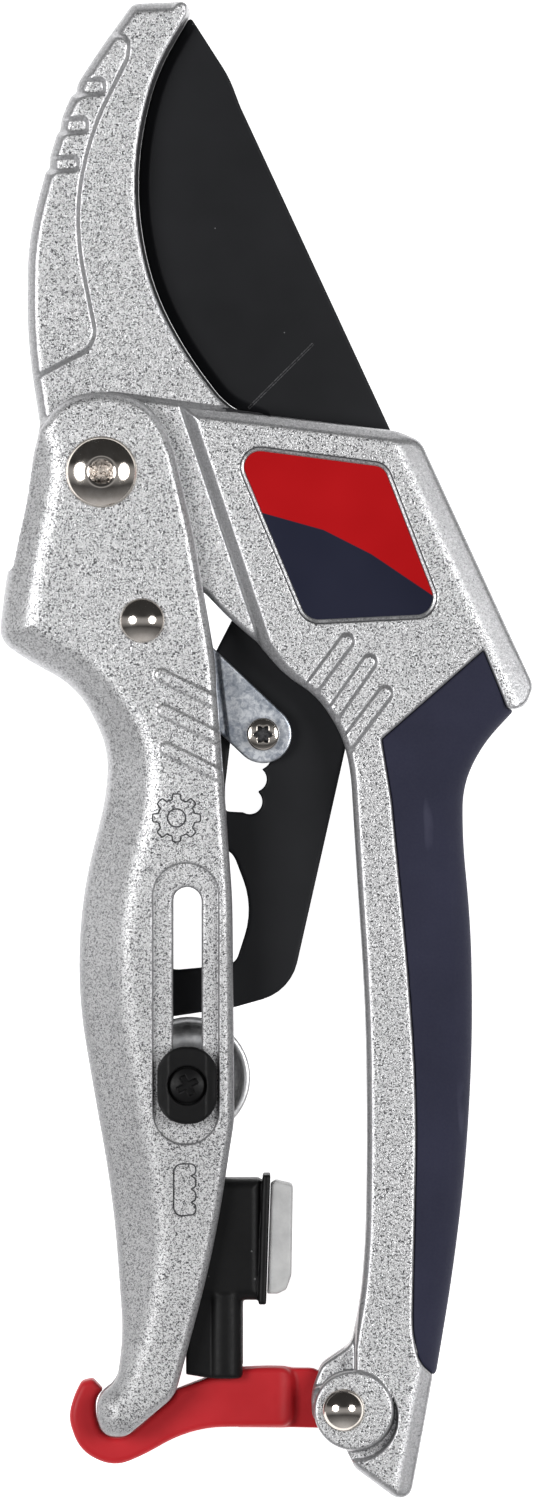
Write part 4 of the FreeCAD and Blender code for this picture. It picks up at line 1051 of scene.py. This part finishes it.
def bumper_block():
    """Black holder: a box with a thin plate behind the pad, on a post in the handle's channel."""
    f = Field((-13.4, -88.7, -7.4), (1.4, -58.8, 7.4), 0.2)
    lean = 0.033 * (f.y + 59.5)
    shell = np.maximum(f.box((-6.7, -68.6), (5.8, 8.5), 0.6), f.x - lean - 0.1)
    lip = np.maximum(np.abs(f.x - lean + 0.2) - 0.55, np.abs(f.y + 68.6) - 9.1)
    body = smooth_min(f.rounded(shell, 6.4, 1.6), f.rounded(lip, CAVITY_HALF, 0.35), 0.35)
    post = np.hypot(f.x[:, :, None] + 6.05, f.z - 4.0) - 2.7
    wall = f.polygon([(-3.5, -76.0, 0), (-3.5, -86.2, 0), (-11.5, -86.2, 0), (-11.5, -76.0, 0)])
    wall = f.rounded(wall, 4.6, 0.6)
    skirt = [(-3.4, -76.0, 0), (-3.4, -88.1, 0.8), (-7.9, -88.1, 0.8), (-11.5, -87.5, 0), (-11.5, -76.0, 0)]
    front = np.maximum(f.rounded(f.polygon(skirt), CAVITY_HALF, 0.6), 4.4 - f.z)
    front = smooth_max(front, np.minimum(post, np.maximum(f.x[:, :, None] + 7.4, f.z - 5.9)), 0.5)
    body = smooth_min(body, np.minimum(wall, front), 0.4)
    finish_piece(f.mesh("bumper_block", body), BLACK, "handle", "black_plastic", "bumper_holder")


def bumper_cushion():
    """Pale pad with a sloping foot."""
    g = Field((-0.5, -77.2, -6.8), (4.2, -59.8, 6.8), 0.16)
    flat = g.polygon([
        (0.38, -60.9, 0.2), (1.1, -60.4, 0.5), (3.5, -61.0, 0.5), (3.3, -73.6, 1.5), (2.6, -75.6, 0.8),
        (1.4, -76.2, 0.6), (-0.12, -76.2, 0),
    ])
    obj = g.mesh("bumper_cushion", g.rounded(flat, 6.0, 0.45))
    finish_piece(obj, MILKY, "handle", "pale_plastic", "bumper_pad")


# ---------------------------------------------------------------- making the pieces
casting = frame_casting()
handle = handle_casting()
# the marks and the label's rim are thin lines of painted shade along grooves and the recess edge
bead("gear_mark", gear_loops((-12.8, -9.5), 3.36, 1.26, 8), handle)
bead("rack_mark", rack_loop((-11.7, -61.6)), handle)
bead("label_rim", [offset_loop(LABEL, 0.6)], casting, "frame", 0.08)
blade = blade_plate()
grind = [(-2.6 + 0.3 * k, 47.9 + 0.3 * k) for k in range(31)]   # a narrow loop, out and back
grind = np.array(grind + [(x - 0.2, y + 0.2) for x, y in reversed(grind)])
# the grind line is a painted line standing in for the light and shade at the ground face's edge
bead("grind_line", [grind], blade, "blade", 0.07)
grip_skin()
latch_hook()
main_rivet()
plain_rivet(
    "link_rivet_head", LINK_PIVOT, 1.9, 3.1, 1.7, HANDLE_HALF, -HANDLE_HALF - 0.9, "handle", "link_rivet"
)
plain_rivet("latch_rivet_head", LATCH_PIVOT, 1.8, 2.95, 1.9, BOSS_HALF, -REST_HEIGHT, "frame", "latch_rivet")
link_cheek("link_cheek_front", 1, "link_front")
link_cheek("link_cheek_rear", -1, "link_rear")
pin_screw()
selector_button()
selector_screw()
selector_disc()
bumper_block()
bumper_cushion()


# ---------------------------------------------------------------- carried-over CAD nodes
CARRIED_OVER = {
    "label": PRINT, "pivot_bolt": ZINC, "pivot_nut": ZINC, "main_bush": BRONZE, "opening_spring": SPRING,
    "main_nut": ZINC, "pawl_spring": SPRING, "pin_sleeve": SPRING, "link_nut": ZINC, "slider_washer": SPRING,
}
for node, material in CARRIED_OVER.items():
    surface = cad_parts[node].data
    surface.materials.clear()
    surface.materials.append(material)


# ---------------------------------------------------------------- stage, light, camera
def stage():
    """Pale floor that glows a little, so that it reads as white."""
    floor_data = bpy.data.meshes.new("floor")
    floor_data.from_pydata([(-3, -3, 0), (3, -3, 0), (3, 3, 0), (-3, 3, 0)], [], [(0, 1, 2, 3)])
    floor = linked_object("floor", floor_data)
    mat, tree, shader, coords = new_material("pale_floor")
    cloud = noise(tree, coords, 3.0, 2.0)
    colour = ramp(tree, cloud, [(0.3, (0.93, 0.93, 0.93)), (0.7, (0.95, 0.95, 0.95))])
    set_shader(shader, tree, colour, roughness=0.9, specular=0.0)
    shader.inputs["Emission Color"].default_value = (1, 1, 1, 1)
    shader.inputs["Emission Strength"].default_value = 0.88
    floor_data.materials.append(mat)


def softbox(name, place, size, power, target=(0.0, 0.0, 0.01)):
    lamp = bpy.data.lights.new(name, "AREA")
    lamp.shape = "ELLIPSE"
    lamp.size, lamp.size_y = size
    lamp.energy = power
    obj = linked_object(name, lamp)
    obj.location = place
    obj.rotation_euler = (Vector(target) - Vector(place)).to_track_quat("-Z", "Y").to_euler()


def world_light():
    """Dim studio: pale overhead and towards the tail, dark towards the tip."""
    world = bpy.data.worlds.new("studio")
    bpy.context.scene.world = world
    world.use_nodes = True
    tree = world.node_tree
    tree.nodes.clear()
    coords = tree.nodes.new("ShaderNodeTexCoord").outputs["Generated"]
    parts = add(tree, "ShaderNodeSeparateXYZ", {0: coords})
    along = span(tree, parts.outputs[1], -1.0, 1.0)
    bands = [(0.0, 0.60), (0.14, 0.26), (0.32, 0.06), (0.45, 0.36), (0.55, 0.36), (0.64, 0.05), (1.0, 0.04)]
    sides = ramp(tree, along, [(place, (level, level, level * 1.02)) for place, level in bands])
    back = add(tree, "ShaderNodeBackground", {0: sides, 1: 1.0})
    add(tree, "ShaderNodeOutputWorld", {0: back.outputs[0]})


stage()
world_light()
softbox("left_box", (-0.62, 0.06, 0.80), (0.46, 0.50), 4.6)
softbox("right_box", (0.62, 0.06, 0.80), (0.46, 0.50), 4.2)

LENS = 400.0
VIEW_HEIGHT = 0.2100                        # metres of object plane over the long side
camera_data = bpy.data.cameras.new("camera")
camera_data.lens = LENS
camera_data.sensor_width = 36.0
camera = linked_object("camera", camera_data)
distance = VIEW_HEIGHT * LENS / 36.0
camera.location = (ORIGIN.x, ORIGIN.y, ORIGIN.z + 0.008 + distance)
camera_data.clip_start, camera_data.clip_end = 0.05, 20.0
bpy.context.scene.camera = camera
bpy.context.scene.view_settings.view_transform = "Standard"

bpy.context.view_layer.update()
